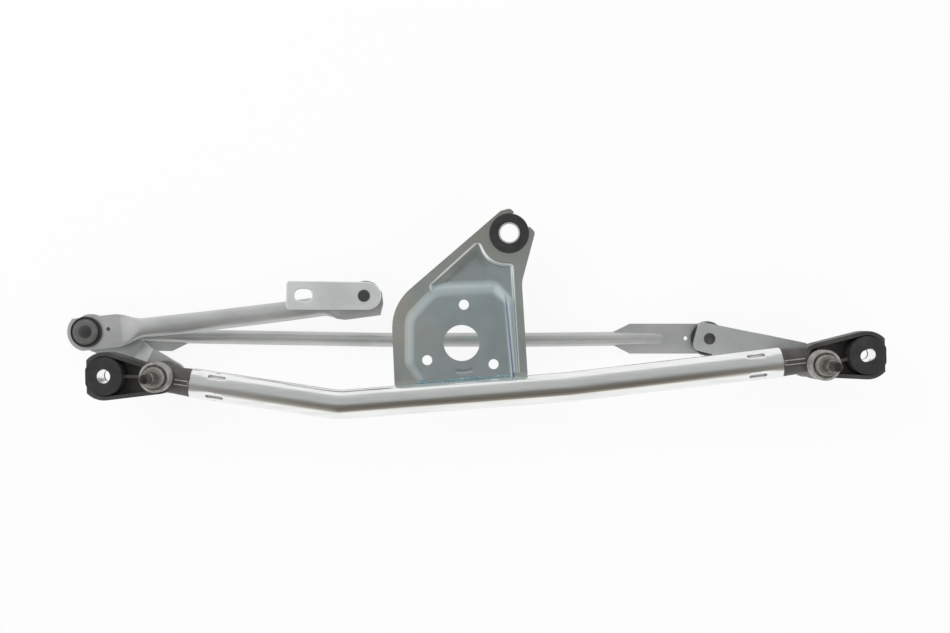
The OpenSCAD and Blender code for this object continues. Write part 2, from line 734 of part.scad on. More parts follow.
module left_thrust_washer() color("#c9b58a") thrust_washer(left_axis);
module right_thrust_washer() color("#c9b58a") thrust_washer(right_axis);

// Pressed lever with a step, riveted to its spindle at the origin, its ball at lever_len along X, its plan
// given as the child
module lever(axis, angle, step_to, step_len) {
    reach = lever_len / 2;
    at(axis, 0, angle) difference() {
        intersection() {
            translate([0, 0, hub_back])
                stepped_sheet(-reach, step_to - step_len, step_to, lever_len + reach, -lever_step, reach);
            translate([0, 0, pin_back - cut]) linear_extrude(lever_step + 2 * lever_t) children();
        }
        disc(tail_r + press_gap, hub_back - cut, hub_front + cut);
        translate([lever_len, 0]) disc(ball_shank_d / 2 + press_gap, pin_back - cut, pin_front + cut);
    }
}

module left_lever() color("#b4b8b5")
    lever(left_axis, left_lever_angle, left_step_end, left_step_len)
        bar_plan([0, 0], left_lever_hub_r, [lever_len, 0], left_lever_end_r);

// Square ended, with a shoulder on the side away from the tube
module right_lever_plan() {
    tip = lever_len + right_lever_half_w - 0.4;
    circle(right_lever_hub_r);
    polygon(rounded([
        [tip, -right_lever_half_w, 4], [tip + 0.4, right_lever_half_w, 6],
        [0, right_lever_hub_r - 1, 4], [-4, -right_lever_shoulder, 7]
    ]));
}

module right_lever() color("#b4b8b5")
    lever(right_axis, right_lever_angle, right_step_end, right_step_len) right_lever_plan();

// Ball on its neck, the ball's centre at the origin and the lever's face at ball_reach along Z
module ball_and_neck() {
    sphere(ball_r, $fn = 96);
    disc(ball_neck_d / 2, 0, ball_reach);
}

module riveted_ball() {
    head_t = 1.1;
    far = ball_reach + lever_t;
    ball_and_neck();
    disc(ball_shank_d / 2, ball_reach, far + press_gap);
    disc(ball_head_d / 2, far + press_gap, far + head_t, ball_head_d / 2 - 0.8);
}

module left_ball_pin() color("#4c4d4e") {
    at(left_pin, back_ball_z) ball_and_neck();
    at(left_pin, front_ball_z) mirror([0, 0, 1]) ball_and_neck();
    at(left_pin) disc(ball_shank_d / 2, pin_back, pin_front);
}

module right_ball_pin() color("#4c4d4e") at(right_pin, back_ball_z) riveted_ball();
module crank_ball_pin() color("#4c4d4e") at(crank_pin, front_ball_z) riveted_ball();

// Plastic ball socket, the ball's centre at the origin and its mouth towards +Z
module socket(body_r, cap_r) {
    half = flat_t / 2 + press_gap;
    difference() {
        union() {
            disc(body_r, -socket_back, socket_mouth);
            disc(cap_r, -socket_back + 2, -half);
            disc(cap_r - 4, -socket_back, -socket_back + 2, cap_r);
            disc(body_r + 1.4, half, socket_mouth);
        }
        children();
    }
}

module ball_socket() {
    socket(socket_d / 2, socket_cap_d / 2) {
        sphere(ball_r + ball_gap, $fn = 96);
        disc(mouth_r, 0, socket_mouth + cut);
    }
}

// Wider socket for the right ball, which has play sideways
open_r = ball_r + open_play;
open_body_r = open_r + 1.6;

module open_socket() {
    socket(open_body_r, open_body_r + 2) disc(open_r, -ball_r - ball_gap, socket_mouth + cut);
}

// Rubber dust seal between a socket's mouth and the lever's face
module dust_seal(outer_r, inner_r, top_r) {
    z0 = socket_mouth + rubber_gap;
    difference() {
        union() {
            disc(outer_r, z0, z0 + seal_t / 3);
            disc(outer_r - 0.5, z0 + seal_t / 3, z0 + seal_t, top_r);
        }
        disc(inner_r, z0 - cut, z0 + seal_t + cut);
    }
}

module joint_seal() dust_seal(seal_d / 2, mouth_r, ball_shank_d / 2 + 3);
module open_seal()
    dust_seal(wide_seal_d / 2, ball_neck_d / 2 + open_play + rubber_gap, wide_seal_d / 2 - 4);

// How far inside the flat end the blend begins
blend_lead = 4;

// Sections that turn a flat end into the rod's run, the flat end being flat_len long from its ball
function rod_blend(flat_len, blend_len, flat_w, width, height) =
    [for (t = [0 : 0.2 : 1])
        let (e = t * t * (3 - 2 * t), x = flat_len - blend_lead + (blend_len + blend_lead) * t)
        [x, (flat_w - 1) * (1 - e) + width * e, (flat_t - 0.4) * (1 - e) + height * e, 6 * (1 - e) + 2 * e]];
// The same sections from the other end, the rod being length long
function turned_round(sections, length) =
    [for (i = [len(sections) - 1 : -1 : 0])
        [length - sections[i][0], sections[i][1], sections[i][2], sections[i][3]]];
// The sections with their sideways place on the bowed run
function bowed(sections, bow) = [for (s = sections) [each s, lookup(s[0], bow)]];

// Plan of a flat end with its ball at the origin: flat_len long, narrowed to end_w at taper_end, its sides
// moved to one side by tip_side at the tip and by end_side at the other end
module flat_end_plan(flat_w, flat_len, taper_end, end_w, tip_r, tip_x, tip_side, end_side) {
    half = flat_w / 2;
    intersection() {
        union() {
            circle(tip_r);
            translate([0, -flat_w]) square([2 * taper_end, 2 * flat_w]);
        }
        polygon([[-tip_x, tip_side - half], [flat_len, end_side - half], [taper_end, end_side - end_w / 2],
            [taper_end, end_side + end_w / 2], [flat_len, end_side + half], [-tip_x, tip_side + half]]);
    }
    circle(socket_d / 2 + 3);
}

// Rod rolled from sheet, from the origin along X, its flat ends given as the child
module rolled_rod(length, sections, hole_a, hole_b) {
    gauge = socket_cap_d / 2 + 5.5;
    deep = 2 * drive_h;
    difference() {
        union() {
            translate([0, 0, -flat_t / 2]) linear_extrude(flat_t) children();
            oval_run(sections);
        }
        disc(hole_a + press_gap, -deep, deep);
        translate([length, 0]) disc(hole_b + press_gap, -deep, deep);
        for (x = [gauge, length - gauge]) translate([x, 0]) disc(gauge_hole_d / 2, -deep, deep);
    }
}

// Sideways places of the drive rod's run
drive_bow = [
    [0, -drive_shift], [0.19 * drive_rod_len, -2.1 * drive_shift], [0.45 * drive_rod_len, -3 * drive_shift],
    [0.69 * drive_rod_len, -3.3 * drive_shift], [0.9 * drive_rod_len, -3 * drive_shift],
    [drive_rod_len, -2.9 * drive_shift]
];
drive_run = [for (part = [0.3, 0.45, 0.57, 0.69, 0.8]) [part * drive_rod_len, drive_w, drive_h, 2]];
drive_sections = bowed(concat(
    rod_blend(drive_flat_len, drive_blend_len, drive_flat_w, drive_w, drive_h), drive_run,
    turned_round(rod_blend(drive_far_len, drive_far_blend, drive_flat_w, drive_w, drive_h), drive_rod_len)
), drive_bow);

module drive_rod() color("#b3b6b4")
    at(left_pin, front_ball_z, drive_rod_angle)
        rolled_rod(drive_rod_len, drive_sections, socket_d / 2, socket_d / 2) {
            end_w = drive_flat_w - 4.4;
            flat_end_plan(drive_flat_w, drive_flat_len - blend_lead, drive_flat_len + blend_lead, end_w,
                drive_tip_r, drive_tip_r, -drive_shift, lookup(drive_flat_len, drive_bow));
            translate([drive_rod_len, 0]) mirror([1, 0])
                flat_end_plan(drive_flat_w, drive_far_len - blend_lead, drive_far_len + blend_lead, end_w,
                    drive_flat_w, drive_far_tip, -2.9 * drive_shift, -3 * drive_shift);
        }

module drive_lever_socket() color("#3b3a38") at(left_pin, front_ball_z) mirror([0, 0, 1]) ball_socket();
module drive_crank_socket() color("#3b3a38") at(crank_pin, front_ball_z) ball_socket();
module drive_lever_seal() color("#3a3b3a") at(left_pin, front_ball_z) mirror([0, 0, 1]) joint_seal();
module drive_crank_seal() color("#3a3b3a") at(crank_pin, front_ball_z) joint_seal();

// The connecting rod's run sinks into its flat ends as a ridge
connect_end = [
    [ridge_end, 0.65 * connect_d, flat_t - 0.4, 2], [ridge_end + 5, 0.8 * connect_d, 0.45 * connect_d, 2],
    [ridge_end + 22, 0.93 * connect_d, 0.75 * connect_d, 2],
    [connect_flat_len + connect_blend_len + 2, connect_d, connect_d, 2]
];
connect_bow = [
    [0, -connect_shift], [0.12 * rod_len, -1.15 * connect_shift], [0.28 * rod_len, -1.45 * connect_shift],
    [0.47 * rod_len, -1.57 * connect_shift], [0.72 * rod_len, -connect_shift],
    [0.9 * rod_len, -0.2 * connect_shift], [rod_len, 0]
];
connect_run = [for (part = [0.28, 0.38, 0.47, 0.6, 0.72]) [part * rod_len, connect_d, connect_d, 2]];

connect_sections =
    bowed(concat(connect_end, connect_run, turned_round(connect_end, rod_len)), connect_bow);

module connecting_rod() color("#b3b6b4")
    at(left_pin, back_ball_z, rod_angle)
        rolled_rod(rod_len, connect_sections, socket_d / 2, open_body_r) {
            taper_end = connect_flat_len + connect_blend_len;
            end_w = connect_d - 2;
            flat_end_plan(connect_flat_w, connect_flat_len, taper_end, end_w, connect_flat_w / 2 + 1,
                connect_flat_w / 2 + 1, -connect_shift, lookup(connect_flat_len, connect_bow));
            translate([rod_len, 0]) mirror([1, 0])
                flat_end_plan(connect_flat_w, connect_flat_len, taper_end, end_w, connect_flat_w / 2,
                    connect_flat_w / 2, 0, lookup(rod_len - connect_flat_len, connect_bow));
            translate([rod_len, 0]) circle(open_body_r + 3);
        }

module connecting_left_socket() color("#3b3a38") at(left_pin, back_ball_z) ball_socket();
module connecting_right_socket() color("#3b3a38") at(right_pin, back_ball_z) open_socket();
module connecting_left_seal() color("#3a3b3a") at(left_pin, back_ball_z) joint_seal();
module connecting_right_seal() color("#3a3b3a") at(right_pin, back_ball_z) open_seal();

// Motor crank: a stepped bar with a two-flat shaft hole, its ball at the origin, its shaft along X
module motor_crank() color("#bcc4c1") {
    step_from = crank_len * 0.49;
    step_to = crank_len * 0.63;
    far_end = crank_len + 14.5;
    near_end = crank_end_r + 2.7;
    corner = 3;
    at(crank_pin, 0, crank_angle) difference() {
        intersection() {
            translate([0, 0, crank_pin_back])
                stepped_sheet(-2 * crank_end_r, step_from, step_to, 2 * crank_len,
                    crank_step, 2 * crank_half_w);
            translate([0, 0, crank_pin_back - cut]) linear_extrude(crank_step + 2 * lever_t)
                polygon(rounded([[-near_end, -crank_end_r, crank_end_r - 0.1],
                    [far_end, -crank_half_w, corner], [far_end, crank_half_w, corner],
                    [-near_end, crank_end_r, crank_end_r - 0.1]], 16));
        }
        disc(ball_shank_d / 2 + press_gap, crank_pin_back - cut, crank_pin_back + lever_t + cut);
        translate([crank_len, 0, crank_hub_back - cut]) linear_extrude(lever_t + 2 * cut)
            polygon(ring_points(crank_hole_d, crank_hole_flats, 2.6, 40));
    }
}

cross_tube();
motor_plate();
plate_welds();
plate_grommet();
plate_sleeve();
left_housing();
left_grommet();
left_sleeve();
left_upper_bush();
left_lower_bush();
right_housing();
right_grommet();
right_sleeve();
right_upper_bush();
right_lower_bush();
left_spindle();
left_lever();
left_ball_pin();
left_retainer();
left_thrust_washer();
right_spindle();
right_lever();
right_ball_pin();
right_retainer();
right_thrust_washer();
drive_rod();
drive_lever_socket();
drive_crank_socket();
drive_lever_seal();
drive_crank_seal();
connecting_rod();
connecting_left_socket();
connecting_right_socket();
connecting_left_seal();
connecting_right_seal();
motor_crank();
crank_ball_pin();
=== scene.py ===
import json
import math

import bmesh
import bpy
import numpy as np
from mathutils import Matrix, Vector, geometry

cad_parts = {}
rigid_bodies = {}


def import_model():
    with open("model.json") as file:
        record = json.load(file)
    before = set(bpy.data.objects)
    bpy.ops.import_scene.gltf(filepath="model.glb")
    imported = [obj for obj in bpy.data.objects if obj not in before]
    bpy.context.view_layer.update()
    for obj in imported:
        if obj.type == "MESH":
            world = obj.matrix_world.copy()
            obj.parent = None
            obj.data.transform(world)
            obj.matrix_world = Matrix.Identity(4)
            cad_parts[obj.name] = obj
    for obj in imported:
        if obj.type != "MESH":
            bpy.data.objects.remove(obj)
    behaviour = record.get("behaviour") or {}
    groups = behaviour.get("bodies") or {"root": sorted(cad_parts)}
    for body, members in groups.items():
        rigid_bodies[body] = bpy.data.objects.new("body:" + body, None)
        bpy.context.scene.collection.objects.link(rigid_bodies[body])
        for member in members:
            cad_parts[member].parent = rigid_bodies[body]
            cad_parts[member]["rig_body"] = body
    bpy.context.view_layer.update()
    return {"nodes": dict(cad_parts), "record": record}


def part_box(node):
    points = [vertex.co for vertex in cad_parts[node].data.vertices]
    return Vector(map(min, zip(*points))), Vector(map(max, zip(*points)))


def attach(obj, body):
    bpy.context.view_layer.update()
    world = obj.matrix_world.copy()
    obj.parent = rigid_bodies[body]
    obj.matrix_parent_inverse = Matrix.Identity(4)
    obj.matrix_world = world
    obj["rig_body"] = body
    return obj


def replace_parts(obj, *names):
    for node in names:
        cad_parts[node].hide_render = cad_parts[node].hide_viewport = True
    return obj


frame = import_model()
NODES = frame["nodes"]
SCENE = bpy.context.scene
MM = 0.001


# Material helpers

GRAIN_HEIGHT = 0.3 * MM
# Sockets of a mix node that blends colours
MIX_FACTOR, MIX_A, MIX_B, MIX_RESULT = 0, 6, 7, 2


def begin(name):
    material = bpy.data.materials.new(name)
    material.use_nodes = True
    tree = material.node_tree
    tree.nodes.clear()
    out = tree.nodes.new("ShaderNodeOutputMaterial")
    shader = tree.nodes.new("ShaderNodeBsdfPrincipled")
    tree.links.new(shader.outputs[0], out.inputs[0])
    return material, tree, shader


def feed(tree, value, socket):
    """Gives an input another node's output, a colour or a number."""
    if hasattr(value, "is_linked"):
        tree.links.new(value, socket)
    elif isinstance(value, tuple):
        socket.default_value = (*value, 1)
    else:
        socket.default_value = value


def coords(tree, stretch=(1, 1, 1)):
    source = tree.nodes.new("ShaderNodeTexCoord")
    mapping = tree.nodes.new("ShaderNodeMapping")
    mapping.inputs["Scale"].default_value = stretch
    tree.links.new(source.outputs["Object"], mapping.inputs["Vector"])
    return mapping.outputs[0]


def axes(tree, vector):
    node = tree.nodes.new("ShaderNodeSeparateXYZ")
    tree.links.new(vector, node.inputs[0])
    return node.outputs


def calc(tree, operation, *values):
    node = tree.nodes.new("ShaderNodeMath")
    node.operation = operation
    for value, socket in zip(values, node.inputs):
        feed(tree, value, socket)
    return node.outputs[0]


def noise(tree, vector, scale, detail=3.0, rough=0.5, distortion=0.0):
    node = tree.nodes.new("ShaderNodeTexNoise")
    node.inputs["Scale"].default_value = scale
    node.inputs["Detail"].default_value = detail
    node.inputs["Roughness"].default_value = rough
    node.inputs["Distortion"].default_value = distortion
    tree.links.new(vector, node.inputs["Vector"])
    return node.outputs["Fac"]


def ramp(tree, value, stops):
    node = tree.nodes.new("ShaderNodeValToRGB")
    elements = node.color_ramp.elements
    while len(elements) < len(stops):
        elements.new(0.5)
    for element, (place, colour) in zip(elements, stops):
        element.position = place
        element.color = (*colour, 1)
    tree.links.new(value, node.inputs[0])
    return node.outputs[0]


def span(tree, value, low, high, from_low=0.3, from_high=0.7):
    node = tree.nodes.new("ShaderNodeMapRange")
    node.inputs["From Min"].default_value = from_low
    node.inputs["From Max"].default_value = from_high
    node.inputs["To Min"].default_value = low
    node.inputs["To Max"].default_value = high
    tree.links.new(value, node.inputs["Value"])
    return node.outputs[0]


def blend_colours(tree, factor, a, b, mode="MIX"):
    node = tree.nodes.new("ShaderNodeMix")
    node.data_type = "RGBA"
    node.blend_type = mode
    for value, socket in ((factor, MIX_FACTOR), (a, MIX_A), (b, MIX_B)):
        feed(tree, value, node.inputs[socket])
    return node.outputs[MIX_RESULT]


def tinted(tree, colour, tint):
    return blend_colours(tree, 1.0, colour, tint, "MULTIPLY")


def bump(tree, shader, height, strength):
    node = tree.nodes.new("ShaderNodeBump")
    node.inputs["Strength"].default_value = strength
    node.inputs["Distance"].default_value = GRAIN_HEIGHT
    tree.links.new(height, node.inputs["Height"])
    tree.links.new(node.outputs[0], shader.inputs["Normal"])


def tones(low, middle, high):
    return [(0.3, low), (0.5, middle), (0.7, high)]


def wide_tones(low, middle, high):
    return [(0.25, low), (0.5, middle), (0.75, high)]


def finish_of(name, colours, rough, metallic, grain, grain_depth, patch, stretch=(1, 1, 1), specular=0.5):
    """Mottled colour, uneven gloss and fine grain; grain and patch are scales of noise."""
    material, tree, shader = begin(name)
    drawn = coords(tree, stretch)
    colour = ramp(tree, noise(tree, drawn, patch, 4, 0.55, 0.4), colours)
    tree.links.new(colour, shader.inputs["Base Color"])
    uneven = noise(tree, drawn, patch * 5, 3, 0.6)
    tree.links.new(span(tree, uneven, *rough), shader.inputs["Roughness"])
    shader.inputs["Metallic"].default_value = metallic
    shader.inputs["Specular IOR Level"].default_value = specular
    bump(tree, shader, noise(tree, drawn, grain, 4, 0.6), grain_depth)
    return material


# Motor plate's finish

# Colour attribute of the plate: red on what is pressed, green for the painted highlight along the pocket's
# upper edge
PRESSED_AND_HIGHLIGHT = "pressed"
TOP_TINT, RIM_TINT, PRESSED_TINT = (0.76, 0.73, 0.68), (1.0, 0.97, 0.93), (0.98, 1.02, 1.04)
# Painted highlight for the pocket's upper edge, and painted shade for the blue line at the pad's right bend
EDGE_HIGHLIGHT_TONE, BEND_SHADE_TONE = (0.97, 0.98, 0.98), (0.22, 0.26, 0.34)
# Painted shade, the dark blue line at the pad's right bend where the wall faces away from the light: how
# much it leans, and the band of x that holds it
BEND_LEAN, BEND_FROM, BEND_TO = 0.0814, 37 * MM, 44 * MM


def plate_finish():
    """Blue passivated zinc that turns from warm grey to blue across the plate, with a painted highlight
    along the pocket's upper edge and painted shade as a dark blue line on the pad's right bend.
    """
    material, tree, shader = begin("plate_zinc")
    place = coords(tree)
    x, y, _ = axes(tree, place)
    cloud = noise(tree, place, 14, 4, 0.5, 0.8)
    cool = ramp(tree, cloud, wide_tones((0.50, 0.56, 0.585), (0.60, 0.66, 0.665), (0.66, 0.69, 0.68)))
    warm = ramp(tree, cloud, wide_tones((0.59, 0.61, 0.585), (0.64, 0.635, 0.58), (0.66, 0.62, 0.60)))
    side = span(tree, x, 1, 0, -45 * MM, 30 * MM)
    spots = span(tree, noise(tree, place, 26, 3, 0.5, 1.2), 0, 1, 0.45, 0.7)
    colour = blend_colours(tree, calc(tree, "MULTIPLY", side, spots), cool, warm)
    up = span(tree, y, 0, 1, 45 * MM, 105 * MM)
    colour = blend_colours(tree, up, colour, tinted(tree, colour, TOP_TINT))
    marks = tree.nodes.new("ShaderNodeAttribute")
    marks.attribute_name = PRESSED_AND_HIGHLIGHT
    parts = tree.nodes.new("ShaderNodeSeparateColor")
    tree.links.new(marks.outputs["Color"], parts.inputs[0])
    pressed, edge, _ = parts.outputs
    colour = blend_colours(tree, pressed, tinted(tree, colour, RIM_TINT), tinted(tree, colour, PRESSED_TINT))
    # Painted highlight: a near-white line along the pocket's upper edge
    colour = blend_colours(tree, edge, colour, EDGE_HIGHLIGHT_TONE)
    # Painted shade: a dark blue line on the pad's right bend, only in its lower part
    across = span(tree, calc(tree, "MULTIPLY_ADD", y, BEND_LEAN, x), 0, 1, BEND_FROM, BEND_TO)
    none, full = (0, 0, 0), (1, 1, 1)
    bend = ramp(tree, across, [
        (0.0, none), (0.3, none), (0.44, full), (0.54, full), (0.7, none), (1.0, none)])
    below = span(tree, y, 1, 0, 30 * MM, 42 * MM)
    colour = blend_colours(tree, tinted(tree, bend, below), colour, BEND_SHADE_TONE)
    tree.links.new(colour, shader.inputs["Base Color"])
    tree.links.new(span(tree, noise(tree, place, 90, 4, 0.6), 0.27, 0.38), shader.inputs["Roughness"])
    shader.inputs["Metallic"].default_value = 1.0
    bump(tree, shader, noise(tree, place, 700, 4, 0.6), 0.05)
    return material


# Housings' finish

# Middle of the tube between its ends, half its reach and the reach of the necks
TUBE_MIDDLE, TUBE_HALF, BARREL_HALF = 20.25 * MM, 244.1 * MM, 259.5 * MM
BARE_FROM, BARE_FULL = 11.7 * MM, 12.1 * MM


def housing_finish():
    """Black coating on a casting, thin on the necks and rubbed through to bare metal on barrels, noses and
    spigots; the spigots inside the tube are made lighter still, as painted light against the shade in the
    tube's slots.
    """
    material, tree, shader = begin("cast_housing")
    place = coords(tree)
    x, _, z = axes(tree, place)
    grit = noise(tree, place, 60, 5, 0.6)
    scratch = noise(tree, place, 240, 4, 0.6)
    base = ramp(tree, grit, tones((0.052, 0.050, 0.048), (0.070, 0.067, 0.064), (0.096, 0.090, 0.085)))
    neck = ramp(tree, grit, tones((0.062, 0.060, 0.057), (0.085, 0.081, 0.075), (0.12, 0.11, 0.10)))
    bare = ramp(tree, scratch, tones((0.29, 0.275, 0.26), (0.41, 0.39, 0.365), (0.53, 0.505, 0.475)))
    # Bare spigot inside the tube, made near white as painted light that lifts the shade in the narrow slots
    bare_spigot_and_painted_light = ramp(tree, grit, tones((0.80, 0.80, 0.78), (0.88, 0.88, 0.87), (0.93, 0.93, 0.92)))
    away = calc(tree, "ABSOLUTE", calc(tree, "SUBTRACT", x, TUBE_MIDDLE))
    on_neck = span(tree, away, 1, 0, BARREL_HALF - 2 * MM, BARREL_HALF + 2 * MM)
    in_tube = span(tree, away, 1, 0, TUBE_HALF - 0.4 * MM, TUBE_HALF)
    high = span(tree, z, 0, 1, BARE_FROM, BARE_FULL)
    colour = blend_colours(tree, on_neck, base, neck)
    colour = blend_colours(tree, high, colour, bare)
    tree.links.new(blend_colours(tree, in_tube, colour, bare_spigot_and_painted_light), shader.inputs["Base Color"])
    tree.links.new(span(tree, noise(tree, place, 300, 4, 0.6), 0.38, 0.6), shader.inputs["Roughness"])
    shader.inputs["Metallic"].default_value = 0.25
    bump(tree, shader, noise(tree, place, 1500, 4, 0.7), 0.25)
    return material


# Spindles' finish

# Levels of a spindle: both ends of the knurled seat, and the tip of the thread above it
SEAT_LOW, SEAT_HIGH, TIP = 31.3 * MM, 40.8 * MM, 50.8 * MM


def spindle_finish():
    """Worn steel whose threaded end keeps its dark coating."""
    material, tree, shader = begin("spindle_steel")
    place = coords(tree)
    _, _, z = axes(tree, place)
    grit = noise(tree, place, 180, 4, 0.55, 0.4)
    lighter_part = ramp(tree, grit, tones((0.16, 0.15, 0.135), (0.25, 0.235, 0.215), (0.35, 0.33, 0.305)))
    dark = ramp(tree, grit, tones((0.05, 0.048, 0.044), (0.075, 0.07, 0.065), (0.11, 0.105, 0.097)))
    on_thread = span(tree, z, 0, 1, SEAT_HIGH - 0.2 * MM, SEAT_HIGH + 0.4 * MM)
    tree.links.new(blend_colours(tree, on_thread, lighter_part, dark), shader.inputs["Base Color"])
    tree.links.new(span(tree, noise(tree, place, 900, 3, 0.6), 0.2, 0.32), shader.inputs["Roughness"])
    shader.inputs["Metallic"].default_value = 0.9
    bump(tree, shader, noise(tree, place, 1600, 4, 0.6), 0.12)
    return material


# Finishes by record slot

PLAIN_FINISHES = {
    "tube_zinc": dict(
        colours=tones((0.78, 0.79, 0.78), (0.86, 0.87, 0.86), (0.91, 0.91, 0.90)),
        rough=(0.08, 0.12), metallic=1.0, grain=500, grain_depth=0.03, patch=22, stretch=(1, 14, 14)),
    "weld_zinc": dict(
        colours=tones((0.17, 0.31, 0.38), (0.27, 0.42, 0.47), (0.40, 0.50, 0.49)),
        rough=(0.3, 0.42), metallic=0.7, grain=1200, grain_depth=0.2, patch=120),
    "rubber": dict(
        colours=tones((0.026, 0.026, 0.025), (0.034, 0.034, 0.033), (0.048, 0.047, 0.045)),
        rough=(0.5, 0.68), metallic=0.0, grain=1800, grain_depth=0.3, patch=90, specular=0.35),
    "sleeve_steel": dict(
        colours=tones((0.88, 0.89, 0.88), (0.93, 0.93, 0.92), (0.96, 0.96, 0.95)),
        rough=(0.12, 0.2), metallic=1.0, grain=1400, grain_depth=0.05, patch=120),
    "bush_bronze": dict(
        colours=tones((0.36, 0.25, 0.13), (0.46, 0.34, 0.18), (0.55, 0.42, 0.24)),
        rough=(0.35, 0.5), metallic=1.0, grain=2200, grain_depth=0.2, patch=200),
    "retainer_steel": dict(
        colours=tones((0.25, 0.235, 0.215), (0.36, 0.34, 0.315), (0.47, 0.445, 0.42)),
        rough=(0.36, 0.5), metallic=0.8, grain=1500, grain_depth=0.2, patch=220),
    "lever_zinc": dict(
        colours=tones((0.51, 0.53, 0.52), (0.58, 0.60, 0.59), (0.63, 0.64, 0.63)),
        rough=(0.34, 0.46), metallic=0.62, grain=800, grain_depth=0.06, patch=30),
    "dark_steel": dict(
        colours=tones((0.07, 0.07, 0.07), (0.11, 0.11, 0.11), (0.16, 0.155, 0.15)),
        rough=(0.35, 0.5), metallic=0.7, grain=1500, grain_depth=0.15, patch=240),
    "washer_plastic": dict(
        colours=tones((0.55, 0.49, 0.36), (0.62, 0.56, 0.42), (0.68, 0.62, 0.48)),
        rough=(0.4, 0.55), metallic=0.0, grain=1200, grain_depth=0.1, patch=80),
    "rod_zinc": dict(
        colours=tones((0.50, 0.51, 0.50), (0.56, 0.57, 0.56), (0.61, 0.61, 0.60)),
        rough=(0.33, 0.44), metallic=0.65, grain=700, grain_depth=0.06, patch=26, stretch=(1, 3, 3)),
    "socket_plastic": dict(
        colours=tones((0.030, 0.030, 0.030), (0.042, 0.041, 0.040), (0.058, 0.056, 0.053)),
        rough=(0.34, 0.46), metallic=0.0, grain=1300, grain_depth=0.15, patch=110),
    "crank_zinc": dict(
        colours=tones((0.72, 0.76, 0.75), (0.79, 0.82, 0.81), (0.85, 0.87, 0.85)),
        rough=(0.36, 0.48), metallic=0.6, grain=800, grain_depth=0.06, patch=34),
}
LOOKS = {name: finish_of(name, **look) for name, look in PLAIN_FINISHES.items()}
LOOKS["plate_zinc"] = plate_finish()
LOOKS["cast_housing"] = housing_finish()
LOOKS["spindle_steel"] = spindle_finish()
SLOT_OF = {row["node"]: row["material_slot"] for row in frame["record"]["subparts"]}


# Shape helpers


def dress(obj, node):
    """Puts the piece on the node's body and gives it the node's finish."""
    slot = SLOT_OF[node]
    obj.data.materials.clear()
    obj.data.materials.append(LOOKS[slot])
    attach(obj, NODES[node]["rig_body"])
    return obj


def new_piece(name, verts, faces, node):
    mesh = bpy.data.meshes.new(name)
    mesh.from_pydata([tuple(v) for v in verts], [], faces)
    mesh.validate()
    obj = bpy.data.objects.new(name, mesh)
    SCENE.collection.objects.link(obj)
    bm = bmesh.new()
    bm.from_mesh(mesh)
    bmesh.ops.recalc_face_normals(bm, faces=bm.faces)
    bm.to_mesh(mesh)
    bm.free()
    for polygon in mesh.polygons:
        polygon.use_smooth = True
    return dress(obj, node)


def round_edges(obj, width, limit, clamp=True):
    """Rounds the edges that bend by more than limit degrees."""
    bevel = obj.modifiers.new("edges", "BEVEL")
    bevel.width = width * MM
    bevel.segments = 2
    bevel.limit_method = "ANGLE"
    bevel.angle_limit = math.radians(limit)
    bevel.use_clamp_overlap = clamp
    return bevel


def soften(node, width, clamp):
    """A copy of the node with its sharp edges rounded, in place of it."""
    mesh = NODES[node].data.copy()
    mesh.name = node + "_rounded"
    obj = bpy.data.objects.new(node + "_rounded", mesh)
    SCENE.collection.objects.link(obj)
    if "custom_normal" in mesh.attributes:
        mesh.attributes.remove(mesh.attributes["custom_normal"])
    bm = bmesh.new()
    bm.from_mesh(mesh)
    bmesh.ops.remove_doubles(bm, verts=bm.verts, dist=2e-6)
    bmesh.ops.dissolve_limit(bm, angle_limit=math.radians(0.4), verts=bm.verts, edges=bm.edges)
    for face in bm.faces:
        face.smooth = True
    bm.to_mesh(mesh)
    bm.free()
    round_edges(obj, width, 32, clamp).miter_outer = "MITER_ARC"
    weighted = obj.modifiers.new("normals", "WEIGHTED_NORMAL")
    weighted.keep_sharp = True
    weighted.weight = 80
    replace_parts(obj, node)
    return dress(obj, node)


def round_radius(z, r, kind, angle):
    return r


def turned(name, node, centre, rows, count, radius_at=round_radius):
    """Closed turned piece: rows of [z, r, kind] from end to end, and radius_at for what isn't round."""
    verts, faces = [], []
    for z, r, kind in rows:
        for i in range(count):
            angle = 2 * math.pi * i / count
            reach = radius_at(z, r, kind, angle)
            verts.append((centre[0] + reach * math.cos(angle), centre[1] + reach * math.sin(angle), z))
    for k in range(len(rows) - 1):
        for i in range(count):
            j = (i + 1) % count
            faces.append((k * count + i, k * count + j, (k + 1) * count + j, (k + 1) * count + i))
    faces.append(tuple(range(count - 1, -1, -1)))
    faces.append(tuple((len(rows) - 1) * count + i for i in range(count)))
    obj = new_piece(name, verts, faces, node)
    obj.data.set_sharp_from_angle(angle=math.radians(35))
    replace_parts(obj, node)
    return obj


def middle_of(node):
    low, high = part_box(node)
    return [(a + b) / 2 for a, b in zip(low, high)]


# Spindles with a knurled seat and a threaded end

KNURL_TEETH, KNURL_DEPTH, KNURL_STEPS = 34, 0.42 * MM, 8
THREAD_PITCH, THREAD_DEPTH, THREAD_STEPS = 1.25 * MM, 0.62 * MM, 70
SPINDLE_SIDES = 136
# Height and radius up to the seat: riveted foot, lever's seat, shaft and the ring groove at the nose
SHAFT_ROWS = [
    (-38.6, 5.0), (-38.3, 5.5), (-37.4, 6.5), (-37.02, 6.7), (-37.01, 4.7), (-33.01, 4.7), (-33, 5.2),
    (-32.7, 5.5), (27.9, 5.5), (28.1, 5.4), (28.12, 4.8), (29.28, 4.8), (29.3, 5.45), (30.0, 5.5),
    (31.0, 5.5),
]
SEAT_R, SEAT_TAPER, NECK_R, THREAD_R, TIP_R = 5.5, 0.7, 3.5, 4.0, 2.7


